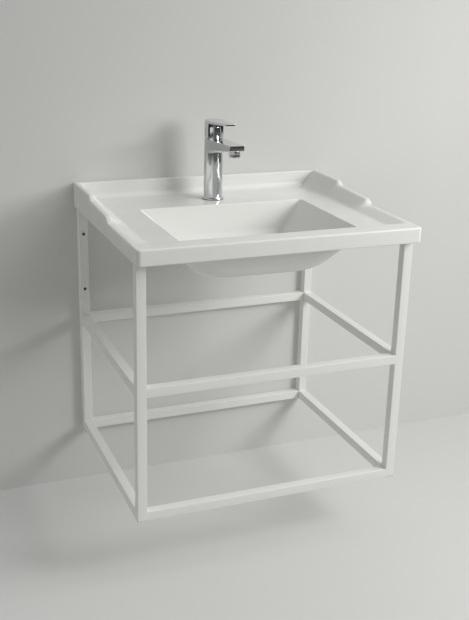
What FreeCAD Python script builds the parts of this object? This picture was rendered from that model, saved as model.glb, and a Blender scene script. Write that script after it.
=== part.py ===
"""Wall-hung washstand: a glazed basin on an open frame of square tube, with a single-lever tap and a waste.

Millimetres. +X to the user's right, +Y into the wall, +Z up. The origin is the middle of the four wall
screws, on the wall's face, so everything stands at negative Y.
"""
import FreeCAD, Part
import math
import os

V = FreeCAD.Vector
X, Y, Z = V(1, 0, 0), V(0, 1, 0), V(0, 0, 1)

TINY = 1e-4                # places closer than this are one place
PAST = 1.0                 # how far a cutting shape runs past the face that it cuts

# Basin, outside
BASIN_WIDTH = 600.0
BASIN_DEPTH = 494.0
APRON_HEIGHT = 32.0        # underside to the front ledge
LOWER_RISE = 11.5          # front ledge to the middle tread of the side rims
TREAD_RISE = 3.5           # climb of the tread from its front end to its back end
UPPER_RISE = 10.0          # middle tread to the top at the wall
DECK_DROP = 10.5           # front ledge to the recessed deck
LOWER_STEP = 214.0         # front face to the middle of the first step
TREAD = 138.0              # first step to second step
STEP_RUN = 22.0            # front to back length of one step
LEDGE = 46.0               # front to back width of the front ledge
RIM_TOP = 10.0             # narrowest top of the side rims
RIM_COVE = 31.0            # radius of the hollow side of the rims
UPSTAND = 11.0             # thickness of the upstand at the wall
UPSTAND_COVE = 12.0
CORNER_ROUND = 9.0         # upright front corners
EDGE_ROUND = 3.5
LEDGE_ROUND = 4.0
UNDER_BEVEL = 2.0

# Basin, bowl and underside
GLAZE_WALL = 11.0          # thickness of deck and bowl
SIDE_DECK = 108.0          # basin's side to the bowl's lip
TAP_DECK = 147.0           # wall to the bowl's back lip
BOWL_BEHIND_LEDGE = 15.0   # back of the ledge to the bowl's front lip
BOWL_DEPTH = 80.0          # deck to bowl floor
SIDE_SLOPE = 0.85 * BOWL_DEPTH    # how far each side wall comes in on its way down
FRONT_SLOPE = 0.55 * BOWL_DEPTH
BACK_SLOPE = 0.15 * BOWL_DEPTH
LIP_CORNER = 20.0
FLOOR_CORNER = 44.0
LIP_ROUND = 5.0
FLOOR_ROUND = 0.325 * BOWL_DEPTH
DISH_R = 50.0              # shallow dish that leads to the waste
DISH_FALL = 4.0
LAND_MARGIN = 7.0          # land left round the posts on the underside

# Frame
TUBE = 20.0
TUBE_WALL = 1.5
TUBE_CORNER = 1.4
SIDE_OVERHANG = 5.0        # basin beyond the frame, each side
FRONT_OVERHANG = 24.0
FRAME_HEIGHT = 541.0       # foot to the top of the posts' plugs
MID_RAIL_TOP = 291.0       # foot to the upper face of the mid rails
SCREW_FROM_TOP = 56.0      # top of the frame to the upper wall screws
SCREW_PITCH = 130.0
SCREW_HOLE = 7.0
PLUG_FLANGE = 2.0
PLUG_DEPTH = 14.0
PLUG_WALL = 2.0
PLUG_CLEARANCE = 0.1
PAD_THICK = 2.0
PAD_INSET = 1.0

# Fits
RUNNING_FIT = 0.05         # round pieces that turn or slide in each other
LOOSE_FIT = 0.3            # pieces that only clear each other

# Tap body
TAP_FROM_WALL = 86.0
TAP_HOLE_R = 17.5
TAP_GASKET = 1.5
GASKET_INSET = 1.0
BASE_RING = 4.0            # height and width of the ring at the foot
BODY_R = 21.2
BODY_HEIGHT = 137.0        # deck to the top of the body
ROOT_INSET = 1.0           # spout and lever are this much narrower than the body at its axis
SPOUT_REACH = 139.0        # axis to the spout's end face
SPOUT_WIDTH = 35.0         # at the end face
SPOUT_ROOT = 24.0          # thickness where it leaves the body
SPOUT_TIP = 12.3
SPOUT_RISE = 5.0           # how much its top climbs towards the end
SPOUT_BLEND = 8.0
SPOUT_CORNER = 3.0
AERATOR_BACK = 13.0        # end face to the outlet's axis
AERATOR_BORE_R = 9.5
AERATOR_FLANGE = 2.5
AERATOR_DROP = 12.5
AERATOR_SEAT = 4.0
AERATOR_WALL = 1.75
AERATOR_BEVEL = 1.0
AERATOR_HOLES = 7
AERATOR_HOLE_R = 1.4
AERATOR_PCR = 4.6          # circle of the holes
INLET_R = 4.5
INLET_DEPTH = 14.0
INLET_PITCH = 13.0
INLET_FORWARD = 5.0
STUD_R = 4.0
STUD_BACK = 10.5
STUD_GRIP = 14.0
STUD_BELOW = 52.0
WASHER_R = 24.0
NOTCH_R = 14.5
NOTCH_GAP = 4.0            # stud to the notch of the horseshoe washers
RUBBER_WASHER = 3.0
STEEL_WASHER = 2.5
STUD_NUT_FLATS = 13.0
STUD_NUT = 10.0

# Tap lever and what it works
CARTRIDGE_R = 17.5
CARTRIDGE_HEIGHT = 31.0
CARTRIDGE_NUT = 6.0
YOKE_R = 9.5
YOKE_ABOVE = 4.0           # lever's axis to the top of the yoke
YOKE_BELOW = 14.0
YOKE_FLOOR = 3.0
NECK_WALL = 2.5
PIVOT_RISE = 10.0          # top of the body to the level axis of the lever
LIFT_ANGLE = 22.0
STEM = 7.0
STEM_ROUND = 3.0
STEM_PIN_R = 1.5
PIN_INSET = 0.5
SHROUD_HEIGHT = 26.0
SHROUD_WALL = 2.0
SHROUD_LIP = 2.8
SHROUD_BEVEL = 1.2
SKIRT_TO_SHROUD = 2.7
SKIRT_GAP = 1.2            # skirt to the top of the body
SKIRT_WALL = 1.5
SKIRT_OPENING = 116.0      # degrees of the skirt that are open at the front
LEVER_HEIGHT = 40.0        # top of the body to the top of the lever over it
LEVER_PLATE = 7.0
LEVER_REACH = 100.0
LEVER_RISE = 5.0           # how much the blade climbs to its tip
LEVER_TIP = 2.5
LEVER_TIP_WIDTH = 22.0
LEVER_CORNER = 3.0
LEVER_KNEE = 11.0          # axis to where the blade starts to climb
BOSS_WALL = 3.2
BOSS_GAP = 2.5             # top of the shroud to the lever's boss
GRUB_R = 2.0
GRUB_SINK = 0.5
CAP_R = 2.4
CAP_SINK = 0.4

# Waste
WASTE_BEHIND = 93.0        # bowl's back lip to the waste's axis
WASTE_CLEARANCE = 2.1      # tail to the hole in the basin
WASTE_FLANGE_R = 32.0
WASTE_FLANGE = 2.5
WASTE_SEAL = 1.5
SEAT_MARGIN = 1.0          # flange to the edge of its seat, and to the rims of seal and plug
TAIL_R = 20.9
TAIL_WALL = 2.2
TAIL_BELOW = 42.0          # below the bowl's underside
TRAP_END = 25.0            # plain end that takes the trap
TRAP_STEP = 0.5
LOWER_SEAL_R = 30.0
LOWER_SEAL = 6.0
SEAL_LAND = 2.0            # top of the lower seal, beyond the hole
BACK_NUT_WALL = 5.0
BACK_NUT = 9.0
BRIDGE = 4.0               # bar across the waste that carries the plug's guide
BRIDGE_WIDTH = 5.0
BRIDGE_BELOW = 16.0
HUB_WALL = 2.5
GUIDE_WALL = 1.5
GUIDE_FLANGE = 2.0
GUIDE_BELOW = 12.0
PLUG_THICK = 4.0
PLUG_BEVEL = 1.0
PLUG_CROWN = 2.0
PLUG_FLAT_R = 16.0
PLUG_SEAT_GAP = 0.3
PLUG_TRAVEL = 8.0
PLUG_STEM_R = 3.5

# Places worked out from the sizes above
FOOT_Z = SCREW_FROM_TOP + SCREW_PITCH / 2 - FRAME_HEIGHT
UNDER_Z = FOOT_Z + FRAME_HEIGHT + PAD_THICK
LEDGE_Z = UNDER_Z + APRON_HEIGHT
TREAD_Z = LEDGE_Z + LOWER_RISE
TREAD_TOP_Z = TREAD_Z + TREAD_RISE
TOP_Z = TREAD_TOP_Z + UPPER_RISE
DECK_Z = LEDGE_Z - DECK_DROP
DECK_UNDER_Z = DECK_Z - GLAZE_WALL
FRAME_X = BASIN_WIDTH / 2 - SIDE_OVERHANG
FRAME_FRONT = -(BASIN_DEPTH - FRONT_OVERHANG)
LEDGE_BACK = -BASIN_DEPTH + LEDGE
BOWL_X = BASIN_WIDTH / 2 - SIDE_DECK
BOWL_FRONT = LEDGE_BACK + BOWL_BEHIND_LEDGE
BOWL_BACK = -TAP_DECK
FLOOR_Z = DECK_Z - BOWL_DEPTH
SEAT_Z = FLOOR_Z - DISH_FALL
BOWL_UNDER_Z = FLOOR_Z - GLAZE_WALL
TAP_Y = -TAP_FROM_WALL
TAP_FOOT_Z = DECK_Z + TAP_GASKET
BODY_TOP_Z = DECK_Z + BODY_HEIGHT
SHOULDER_Z = BODY_TOP_Z - CARTRIDGE_NUT
CARTRIDGE_Z = SHOULDER_Z - CARTRIDGE_HEIGHT
CARTRIDGE_BORE_R = CARTRIDGE_R + LOOSE_FIT
PIVOT_Z = BODY_TOP_Z + PIVOT_RISE
YOKE_Z = PIVOT_Z - YOKE_BELOW
YOKE_TOP_Z = PIVOT_Z + YOKE_ABOVE
NECK_R = YOKE_R + RUNNING_FIT + NECK_WALL
SKIRT_R = BODY_R - SKIRT_WALL
SHROUD_R = SKIRT_R - SKIRT_TO_SHROUD
SHROUD_TOP_Z = BODY_TOP_Z + SHROUD_HEIGHT
PLATE_TOP_Z = BODY_TOP_Z + LEVER_HEIGHT
PLATE_Z = PLATE_TOP_Z - LEVER_PLATE
BOSS_Z = SHROUD_TOP_Z + BOSS_GAP
BOSS_R = STEM / 2 + BOSS_WALL
AERATOR_Y = TAP_Y - SPOUT_REACH + AERATOR_BACK
WASTE_Y = BOWL_BACK - WASTE_BEHIND
WASTE_HOLE_R = TAIL_R + WASTE_CLEARANCE


def block(x0, x1, y0, y1, z0, z1):
    """Plain block between two corners."""
    return Part.makeBox(x1 - x0, y1 - y0, z1 - z0, V(x0, y0, z0))


def rod(r, z0, z1, x=0.0, y=0.0):
    """Upright cylinder."""
    return Part.makeCylinder(r, z1 - z0, V(x, y, z0), Z)


def ring(r_out, r_in, z0, z1, x=0.0, y=0.0):
    """Upright tube."""
    return rod(r_out, z0, z1, x, y).cut(rod(r_in, z0 - PAST, z1 + PAST, x, y))


def face(points):
    """Flat face through straight-sided points."""
    return Part.Face(Part.makePolygon(points + [points[0]]))


def rounded_wire(x0, x1, y0, y1, r, z=0.0):
    """Rectangle with round corners in a level plane, counterclockwise from its front side."""
    d = r * (1 - math.sqrt(0.5))
    edges = []
    for ax, ay, bx, by, cx, cy, ex, ey in (
        (x0 + r, y0, x1 - r, y0, x1 - d, y0 + d, x1, y0 + r),
        (x1, y0 + r, x1, y1 - r, x1 - d, y1 - d, x1 - r, y1),
        (x1 - r, y1, x0 + r, y1, x0 + d, y1 - d, x0, y1 - r),
        (x0, y1 - r, x0, y0 + r, x0 + d, y0 + d, x0 + r, y0),
    ):
        edges.append(Part.LineSegment(V(ax, ay, z), V(bx, by, z)).toShape())
        edges.append(Part.Arc(V(bx, by, z), V(cx, cy, z), V(ex, ey, z)).toShape())
    return Part.Wire(edges)


def hexagon(flats, z0, z1, x, y):
    """Upright hexagonal prism."""
    r = flats / math.sqrt(3)
    points = [V(x + r * math.cos(k * math.pi / 3), y + r * math.sin(k * math.pi / 3), z0) for k in range(6)]
    return face(points).extrude(V(0, 0, z1 - z0))


def turned(points, x, y):
    """Solid of revolution about an upright axis, from (radius, height) points."""
    return face([V(x + r, y, z) for r, z in points]).revolve(V(x, y, 0), Z, 360)


def edges_where(shape, test):
    """Edges whose ends and middle all pass a test on the point."""
    found = []
    for e in shape.Edges:
        a, b = e.FirstParameter, e.LastParameter
        if all(test(e.valueAt(a + (b - a) * t)) for t in (0.0, 0.5, 1.0)):
            found.append(e)
    return found


def near(a, b):
    return abs(a - b) < TINY


def export(name, *solids):
    """Write one node: a single solid, or a group of separate solids."""
    shape = solids[0] if len(solids) == 1 else Part.makeCompound(list(solids))
    shape.exportStep("parts/%s.step" % name)
    print(name, len(shape.Solids), round(shape.Volume / 1000, 2), shape.isValid())


def tube(length):
    """Square tube along +Z, its outer section centred on the axis."""
    h = TUBE / 2
    outer = Part.Face(rounded_wire(-h, h, -h, h, TUBE_CORNER))
    i = h - TUBE_WALL
    bore = Part.Face(rounded_wire(-i, i, -i, i, TUBE_CORNER))
    return outer.cut(bore).extrude(V(0, 0, length))


def along(shape, axis, place):
    """Turn a piece that stands on +Z to run along another axis, and put it in its place."""
    turned_shape = shape.copy()
    turned_shape.Placement = FreeCAD.Placement(place, FreeCAD.Rotation(Z, axis))
    return turned_shape


def post_places():
    """Name and axis of each post."""
    h = TUBE / 2
    for depth, y in (("front", FRAME_FRONT + h), ("rear", -h)):
        for side, x in (("left", -FRAME_X + h), ("right", FRAME_X - h)):
            yield "%s_%s" % (depth, side), x, y


def frame():
    """Four posts and two rings of rails, with the rear posts drilled for the wall screws."""
    h = TUBE / 2
    top = FOOT_Z + FRAME_HEIGHT
    for name, x, y in post_places():
        post = along(tube(FRAME_HEIGHT - 2 * PLUG_FLANGE), Z, V(x, y, FOOT_Z + PLUG_FLANGE))
        if name.startswith("rear"):
            for z in (-SCREW_PITCH / 2, SCREW_PITCH / 2):
                post = post.cut(Part.makeCylinder(SCREW_HOLE / 2, TUBE + 2 * PAST, V(x, PAST, z), -Y))
        export("post_" + name, post)
    for level, z in (("mid", FOOT_Z + MID_RAIL_TOP - h), ("bottom", FOOT_Z + h)):
        across = tube(2 * FRAME_X - 2 * TUBE)
        export(level + "_rail_front", along(across, X, V(-FRAME_X + TUBE, FRAME_FRONT + h, z)))
        export(level + "_rail_rear", along(across, X, V(-FRAME_X + TUBE, -h, z)))
        back = tube(-FRAME_FRONT - 2 * TUBE)
        export(level + "_rail_left", along(back, Y, V(-FRAME_X + h, FRAME_FRONT + TUBE, z)))
        export(level + "_rail_right", along(back, Y, V(FRAME_X - h, FRAME_FRONT + TUBE, z)))
    feet, heads, pads = [], [], []
    for name, x, y in post_places():
        feet.append(along(end_plug(), Z, V(x, y, FOOT_Z)))
        heads.append(along(end_plug(), -Z, V(x, y, top)))
        p = h - PAD_INSET
        pads.append(block(x - p, x + p, y - p, y + p, top, top + PAD_THICK))
    export("post_foot_plugs", *feet)
    export("post_head_plugs", *heads)
    export("basin_pads", *pads)


def end_plug():
    """Push-in plug: a flange the size of the tube and a cup that fits its bore."""
    h = TUBE / 2
    s = h - TUBE_WALL - PLUG_CLEARANCE
    c = s - PLUG_WALL
    flange = Part.Face(rounded_wire(-h, h, -h, h, TUBE_CORNER)).extrude(V(0, 0, PLUG_FLANGE))
    cup = Part.Face(rounded_wire(-s, s, -s, s, TUBE_CORNER)).extrude(V(0, 0, PLUG_DEPTH))
    bore = block(-c, c, -c, c, PLUG_FLANGE, PLUG_DEPTH + PAST)
    return flange.fuse(cup).cut(bore).removeSplitter()


def step_edge(y, z0, z1, lean0, lean1):
    """One S-shaped step of the rim as a cubic curve, leaning like its neighbours at each end."""
    half = STEP_RUN / 2
    curve = Part.BezierCurve()
    curve.setPoles([
        V(0, y - half, z0), V(0, y, z0 + lean0 * half), V(0, y, z1 - lean1 * half), V(0, y + half, z1),
    ])
    return [curve.toShape()]


def basin_outside():
    """Full-width body with the stepped side view and round front corners."""
    z0, z1, z2, z3, z4 = UNDER_Z, LEDGE_Z, TREAD_Z, TREAD_TOP_Z, TOP_Z
    front, half = -BASIN_DEPTH, STEP_RUN / 2
    lean = TREAD_RISE / (TREAD - STEP_RUN)
    y1 = front + LOWER_STEP
    y2 = y1 + TREAD

    def line(ya, za, yb, zb):
        return [Part.LineSegment(V(0, ya, za), V(0, yb, zb)).toShape()]

    edges = line(0, z0, front, z0) + line(front, z0, front, z1) + line(front, z1, y1 - half, z1)
    edges += step_edge(y1, z1, z2, 0, lean) + line(y1 + half, z2, y2 - half, z3)
    edges += step_edge(y2, z3, z4, lean, 0) + line(y2 + half, z4, 0, z4) + line(0, z4, 0, z0)
    half_width = BASIN_WIDTH / 2
    side_view = Part.Face(Part.Wire(edges)).extrude(V(BASIN_WIDTH, 0, 0))
    side_view.translate(V(-half_width, 0, 0))
    uprights = edges_where(side_view, lambda p: near(p.y, front) and near(abs(p.x), half_width))
    body = side_view.makeFillet(CORNER_ROUND, uprights)

    def on_top_edge(p):
        outline = near(abs(p.x), half_width) or p.y < front + CORNER_ROUND + TINY
        return p.z > z1 - TINY and p.y < -TINY and outline

    body = body.makeFillet(EDGE_ROUND, edges_where(body, on_top_edge))
    return body.makeChamfer(UNDER_BEVEL, edges_where(body, lambda p: near(p.z, z0) and p.y < -TINY))


def recess():
    """Space over the deck: level floor, hollow coves up to the side rims, a small cove at the upstand."""
    foot = BASIN_WIDTH / 2 - RIM_TOP - RIM_COVE
    wall = BASIN_WIDTH / 2 - RIM_TOP
    z0, z1 = DECK_Z, DECK_Z + RIM_COVE
    top = max(z1, TOP_Z) + PAST
    k = RIM_COVE * math.sqrt(0.5)
    y = LEDGE_BACK

    def arc(side):
        return Part.Arc(
            V(side * foot, y, z0), V(side * (foot + k), y, z1 - k), V(side * wall, y, z1)
        ).toShape()

    edges = [
        Part.LineSegment(V(-foot, y, z0), V(foot, y, z0)).toShape(),
        arc(1),
        Part.LineSegment(V(wall, y, z1), V(wall, y, top)).toShape(),
        Part.LineSegment(V(wall, y, top), V(-wall, y, top)).toShape(),
        Part.LineSegment(V(-wall, y, top), V(-wall, y, z1)).toShape(),
        arc(-1),
    ]
    space = Part.Face(Part.Wire(Part.sortEdges(edges)[0])).extrude(V(0, -UPSTAND - y, 0))
    ends = edges_where(space, lambda p: near(p.y, -UPSTAND) and p.z < top - TINY)
    return space.makeFillet(UPSTAND_COVE, ends)


def bowl(wall):
    """Bowl lofted from lip to floor and rounded at its floor; wall moves every face out by as much."""
    sides = {}
    for name, run in (("side", SIDE_SLOPE), ("front", FRONT_SLOPE), ("back", BACK_SLOPE)):
        lean = math.atan2(run, BOWL_DEPTH)
        sides[name] = (wall / math.cos(lean), wall * (1 / math.cos(lean) - math.tan(lean)) - run)
    wires = []
    for k, z, corner in ((0, DECK_Z, LIP_CORNER), (1, FLOOR_Z - wall, FLOOR_CORNER)):
        x = BOWL_X + sides["side"][k]
        y0 = BOWL_FRONT - sides["front"][k]
        y1 = BOWL_BACK + sides["back"][k]
        wires.append(rounded_wire(-x, x, y0, y1, corner + wall, z))
    solid = Part.makeLoft(wires, True, True)
    floor = edges_where(solid, lambda p: near(p.z, FLOOR_Z - wall))
    return solid.makeFillet(FLOOR_ROUND + wall, floor)


def basin():
    """Glazed basin: outside, recess, hollow underside, bowl, tap hole and waste seat."""
    body = basin_outside().cut(recess())
    ledge = edges_where(body, lambda p: near(p.y, LEDGE_BACK) and near(p.z, LEDGE_Z))
    body = body.makeFillet(LEDGE_ROUND, ledge)
    edge = TUBE + LAND_MARGIN
    x = FRAME_X - edge
    hollow = Part.Face(rounded_wire(-x, x, FRAME_FRONT + edge, -edge, LIP_CORNER, UNDER_Z - PAST))
    hollow = hollow.extrude(V(0, 0, DECK_UNDER_Z - UNDER_Z + PAST))
    over = block(-BASIN_WIDTH, BASIN_WIDTH, -BASIN_DEPTH, 0, DECK_Z - GLAZE_WALL / 2, DECK_Z + PAST)
    body = body.cut(hollow).fuse(bowl(GLAZE_WALL).cut(over)).cut(bowl(0.0)).removeSplitter()
    lip = edges_where(body, lambda p: near(p.z, DECK_Z) and in_lip(p))
    body = body.makeFillet(LIP_ROUND, lip)
    body = body.cut(rod(TAP_HOLE_R, UNDER_Z, DECK_Z + PAST, 0, TAP_Y))
    dish = turned([
        (0, SEAT_Z), (WASTE_FLANGE_R + SEAT_MARGIN, SEAT_Z), (DISH_R, FLOOR_Z), (DISH_R, FLOOR_Z + PAST),
        (0, FLOOR_Z + PAST),
    ], 0, WASTE_Y)
    body = body.cut(dish).cut(rod(WASTE_HOLE_R, BOWL_UNDER_Z - PAST, FLOOR_Z, 0, WASTE_Y))
    export("basin", body)


def in_lip(p):
    """Whether a point of the deck lies on the bowl's lip."""
    return abs(p.x) < BOWL_X + TINY and BOWL_FRONT - TINY < p.y < BOWL_BACK + TINY


def spout():
    """Wedge spout: plan tapering to the end face, side view thinning to it, blended into the body below."""
    zt, ye = BODY_TOP_Z, TAP_Y - SPOUT_REACH
    half, wide = SPOUT_WIDTH / 2, BODY_R - ROOT_INSET
    low = zt - SPOUT_ROOT - BODY_R
    plan = face([
        V(-wide, TAP_Y, low), V(-half, ye, low), V(half, ye, low), V(wide, TAP_Y, low),
    ]).extrude(V(0, 0, zt + SPOUT_RISE - low + PAST))
    plan = plan.makeFillet(SPOUT_CORNER, edges_where(plan, lambda p: near(p.y, ye) and near(abs(p.x), half)))
    root = TAP_Y - BODY_R
    fall = math.atan2(SPOUT_ROOT - SPOUT_TIP + SPOUT_RISE, SPOUT_REACH - BODY_R)
    reach = SPOUT_BLEND * math.tan(math.radians(45) - fall / 2)
    start = V(0, root - reach * math.cos(fall), zt - SPOUT_ROOT + reach * math.sin(fall))
    end = V(0, root, zt - SPOUT_ROOT - reach)
    centre = end - V(0, SPOUT_BLEND, 0)
    mid_angle = math.radians(45) - fall / 2
    mid = centre + V(0, SPOUT_BLEND * math.cos(mid_angle), SPOUT_BLEND * math.sin(mid_angle))
    tip_low = V(0, ye, zt + SPOUT_RISE - SPOUT_TIP)
    tip_high = V(0, ye, zt + SPOUT_RISE)
    back = V(0, TAP_Y, zt)
    under = V(0, TAP_Y, zt - SPOUT_ROOT - reach)
    edges = [
        Part.LineSegment(back, V(0, root, zt)).toShape(),
        Part.LineSegment(V(0, root, zt), tip_high).toShape(),
        Part.LineSegment(tip_high, tip_low).toShape(),
        Part.LineSegment(tip_low, start).toShape(),
        Part.Arc(start, mid, end).toShape(),
        Part.LineSegment(end, under).toShape(),
        Part.LineSegment(under, back).toShape(),
    ]
    side_view = Part.Face(Part.Wire(edges)).extrude(V(4 * BODY_R, 0, 0))
    side_view.translate(V(-2 * BODY_R, 0, 0))
    return plan.common(side_view)


def spout_underside(y):
    """Height of the spout's sloping underside at a given place."""
    t = (TAP_Y - BODY_R - y) / (SPOUT_REACH - BODY_R)
    return BODY_TOP_Z - SPOUT_ROOT + t * (SPOUT_ROOT - SPOUT_TIP + SPOUT_RISE)


def tap_body():
    """Tap body: column, spout, cartridge bore, outlet bore, stud hole and the two hose inlets."""
    body = rod(BODY_R, TAP_FOOT_Z, BODY_TOP_Z, 0, TAP_Y).fuse(spout()).removeSplitter()
    body = body.cut(rod(CARTRIDGE_BORE_R, CARTRIDGE_Z, BODY_TOP_Z + SPOUT_RISE + PAST, 0, TAP_Y))
    outlet = spout_underside(AERATOR_Y)
    body = body.cut(rod(AERATOR_BORE_R, outlet - SPOUT_ROOT, outlet + AERATOR_SEAT, 0, AERATOR_Y))
    for x in (-INLET_PITCH / 2, INLET_PITCH / 2):
        body = body.cut(rod(INLET_R, TAP_FOOT_Z - PAST, TAP_FOOT_Z + INLET_DEPTH, x, TAP_Y - INLET_FORWARD))
    stud_hole = rod(STUD_R + RUNNING_FIT, TAP_FOOT_Z - PAST, TAP_FOOT_Z + STUD_GRIP, 0, TAP_Y + STUD_BACK)
    export("tap_body", body.cut(stud_hole))


def horseshoe(z0, z1):
    """Washer open at the front for the hoses, with a hole for the stud."""
    y = TAP_Y + STUD_BACK
    notch_y = y - STUD_R - NOTCH_GAP - NOTCH_R
    low, high = z0 - PAST, z1 + PAST
    disc = rod(WASHER_R, z0, z1, 0, TAP_Y).cut(rod(NOTCH_R, low, high, 0, notch_y))
    disc = disc.cut(block(-NOTCH_R, NOTCH_R, notch_y - 2 * WASHER_R, notch_y, low, high))
    return disc.cut(rod(STUD_R + LOOSE_FIT, low, high, 0, y))


def tap_fixings():
    """What clamps the tap to the deck: base ring, gasket, stud, horseshoe washers and nut."""
    r_in, r_out, bevel = BODY_R + RUNNING_FIT, BODY_R + BASE_RING, BASE_RING / 2
    top = TAP_FOOT_Z + BASE_RING
    export("tap_base_ring", turned([
        (r_in, TAP_FOOT_Z), (r_out, TAP_FOOT_Z), (r_out, top - bevel), (r_out - bevel, top), (r_in, top),
    ], 0, TAP_Y))
    gasket = ring(r_out - GASKET_INSET, TAP_HOLE_R + GASKET_INSET, DECK_Z, TAP_FOOT_Z, 0, TAP_Y)
    export("tap_base_gasket", gasket)
    y = TAP_Y + STUD_BACK
    export("tap_stud", rod(STUD_R, DECK_UNDER_Z - STUD_BELOW, TAP_FOOT_Z + STUD_GRIP, 0, y))
    rubber_z = DECK_UNDER_Z - RUBBER_WASHER
    steel_z = rubber_z - STEEL_WASHER
    nut_z = steel_z - STUD_NUT
    export("tap_rubber_washer", horseshoe(rubber_z, DECK_UNDER_Z))
    export("tap_steel_washer", horseshoe(steel_z, rubber_z))
    nut = hexagon(STUD_NUT_FLATS, nut_z, steel_z, 0, y)
    export("tap_stud_nut", nut.cut(rod(STUD_R + RUNNING_FIT, nut_z - PAST, steel_z + PAST, 0, y)))


def aerator():
    """Outlet: a screwed-in housing below the spout and the insert it holds."""
    y = AERATOR_Y
    seat = spout_underside(y)
    r_out = AERATOR_BORE_R + AERATOR_FLANGE
    r_in = AERATOR_BORE_R - RUNNING_FIT
    inner = r_in - AERATOR_WALL
    clear = spout_underside(y + r_out) - LOOSE_FIT
    low, bevel = seat - AERATOR_DROP, AERATOR_BEVEL
    top = seat + AERATOR_SEAT
    export("aerator_housing", turned([
        (inner, low + bevel), (r_out - bevel, low), (r_out, low + bevel), (r_out, clear),
        (r_in, clear), (r_in, top), (inner, top),
    ], 0, y))
    insert = rod(inner - RUNNING_FIT, low + 2 * bevel, top, 0, y)
    for k in range(AERATOR_HOLES):
        a = 2 * math.pi * k / AERATOR_HOLES
        dx, dy = AERATOR_PCR * math.cos(a), AERATOR_PCR * math.sin(a)
        insert = insert.cut(rod(AERATOR_HOLE_R, low, seat, dx, y + dy))
    export("aerator_insert", insert)


def cartridge():
    """Valve cartridge, the nut that holds it, the yoke that turns in it and the shroud over it."""
    cup = YOKE_R + RUNNING_FIT
    export("cartridge", turned([
        (0, CARTRIDGE_Z), (CARTRIDGE_R, CARTRIDGE_Z), (CARTRIDGE_R, SHOULDER_Z), (NECK_R, SHOULDER_Z),
        (NECK_R, YOKE_TOP_Z), (cup, YOKE_TOP_Z), (cup, YOKE_Z), (0, YOKE_Z),
    ], 0, TAP_Y))
    nut_r = CARTRIDGE_BORE_R - RUNNING_FIT
    export("cartridge_nut", ring(nut_r, NECK_R + LOOSE_FIT, SHOULDER_Z, BODY_TOP_Z, 0, TAP_Y))
    yoke = rod(YOKE_R, YOKE_Z, YOKE_TOP_Z, 0, TAP_Y)
    s = STEM / 2 + LOOSE_FIT
    slot = block(-s, s, TAP_Y - 2 * YOKE_R, TAP_Y + 2 * YOKE_R, YOKE_Z + YOKE_FLOOR, YOKE_TOP_Z + PAST)
    pin_hole = Part.makeCylinder(STEM_PIN_R + RUNNING_FIT, 4 * YOKE_R, V(-2 * YOKE_R, TAP_Y, PIVOT_Z), X)
    export("lever_yoke", yoke.cut(slot).cut(pin_hole))
    bore, mouth = SHROUD_R - SHROUD_WALL, SHROUD_R - SHROUD_LIP
    lip_z, bevel_z = SHROUD_TOP_Z - SHROUD_WALL, SHROUD_TOP_Z - SHROUD_BEVEL
    export("tap_shroud", turned([
        (bore, BODY_TOP_Z), (SHROUD_R, BODY_TOP_Z), (SHROUD_R, bevel_z),
        (SHROUD_R - SHROUD_BEVEL, SHROUD_TOP_Z), (mouth, SHROUD_TOP_Z), (mouth, lip_z), (bore, lip_z),
    ], 0, TAP_Y))


def lever_plate():
    """Round plate over the body with a tapering blade that climbs to a thin tip."""
    tip_y, tip_top = TAP_Y - LEVER_REACH, PLATE_TOP_Z + LEVER_RISE
    half, wide = LEVER_TIP_WIDTH / 2, BODY_R - ROOT_INSET
    plan = face([
        V(-wide, TAP_Y, PLATE_Z), V(-half, tip_y, PLATE_Z), V(half, tip_y, PLATE_Z), V(wide, TAP_Y, PLATE_Z),
    ]).extrude(V(0, 0, tip_top - PLATE_Z + PAST))
    tips = edges_where(plan, lambda p: near(p.y, tip_y) and near(abs(p.x), half))
    plan = plan.makeFillet(LEVER_CORNER, tips)
    x, knee = -2 * BODY_R, TAP_Y - LEVER_KNEE
    side_view = face([
        V(x, TAP_Y, PLATE_Z), V(x, knee, PLATE_Z), V(x, tip_y, tip_top - LEVER_TIP), V(x, tip_y, tip_top),
        V(x, knee, PLATE_TOP_Z), V(x, TAP_Y, PLATE_TOP_Z),
    ]).extrude(V(4 * BODY_R, 0, 0))
    return rod(BODY_R, PLATE_Z, PLATE_TOP_Z, 0, TAP_Y).fuse(plan.common(side_view))


def lever_skirt():
    """Skirt open at the front, its foot rising to the rear by the lift angle so that it clears the body."""
    low = BODY_TOP_Z + SKIRT_GAP
    skirt = ring(BODY_R, SKIRT_R, low, PLATE_Z, 0, TAP_Y)
    a, far = math.radians(SKIRT_OPENING / 2), 3 * BODY_R
    dx, front = far * math.sin(a), TAP_Y - far * math.cos(a)
    mouth = face([V(0, TAP_Y, low - PAST), V(-dx, front, low - PAST), V(dx, front, low - PAST)])
    foot = block(-far, far, 0, far, -far, 0)
    foot.rotate(V(0, 0, 0), X, LIFT_ANGLE)
    foot.translate(V(0, TAP_Y, low))
    return skirt.cut(mouth.extrude(V(0, 0, PLATE_Z - low + PAST))).cut(foot)


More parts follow.
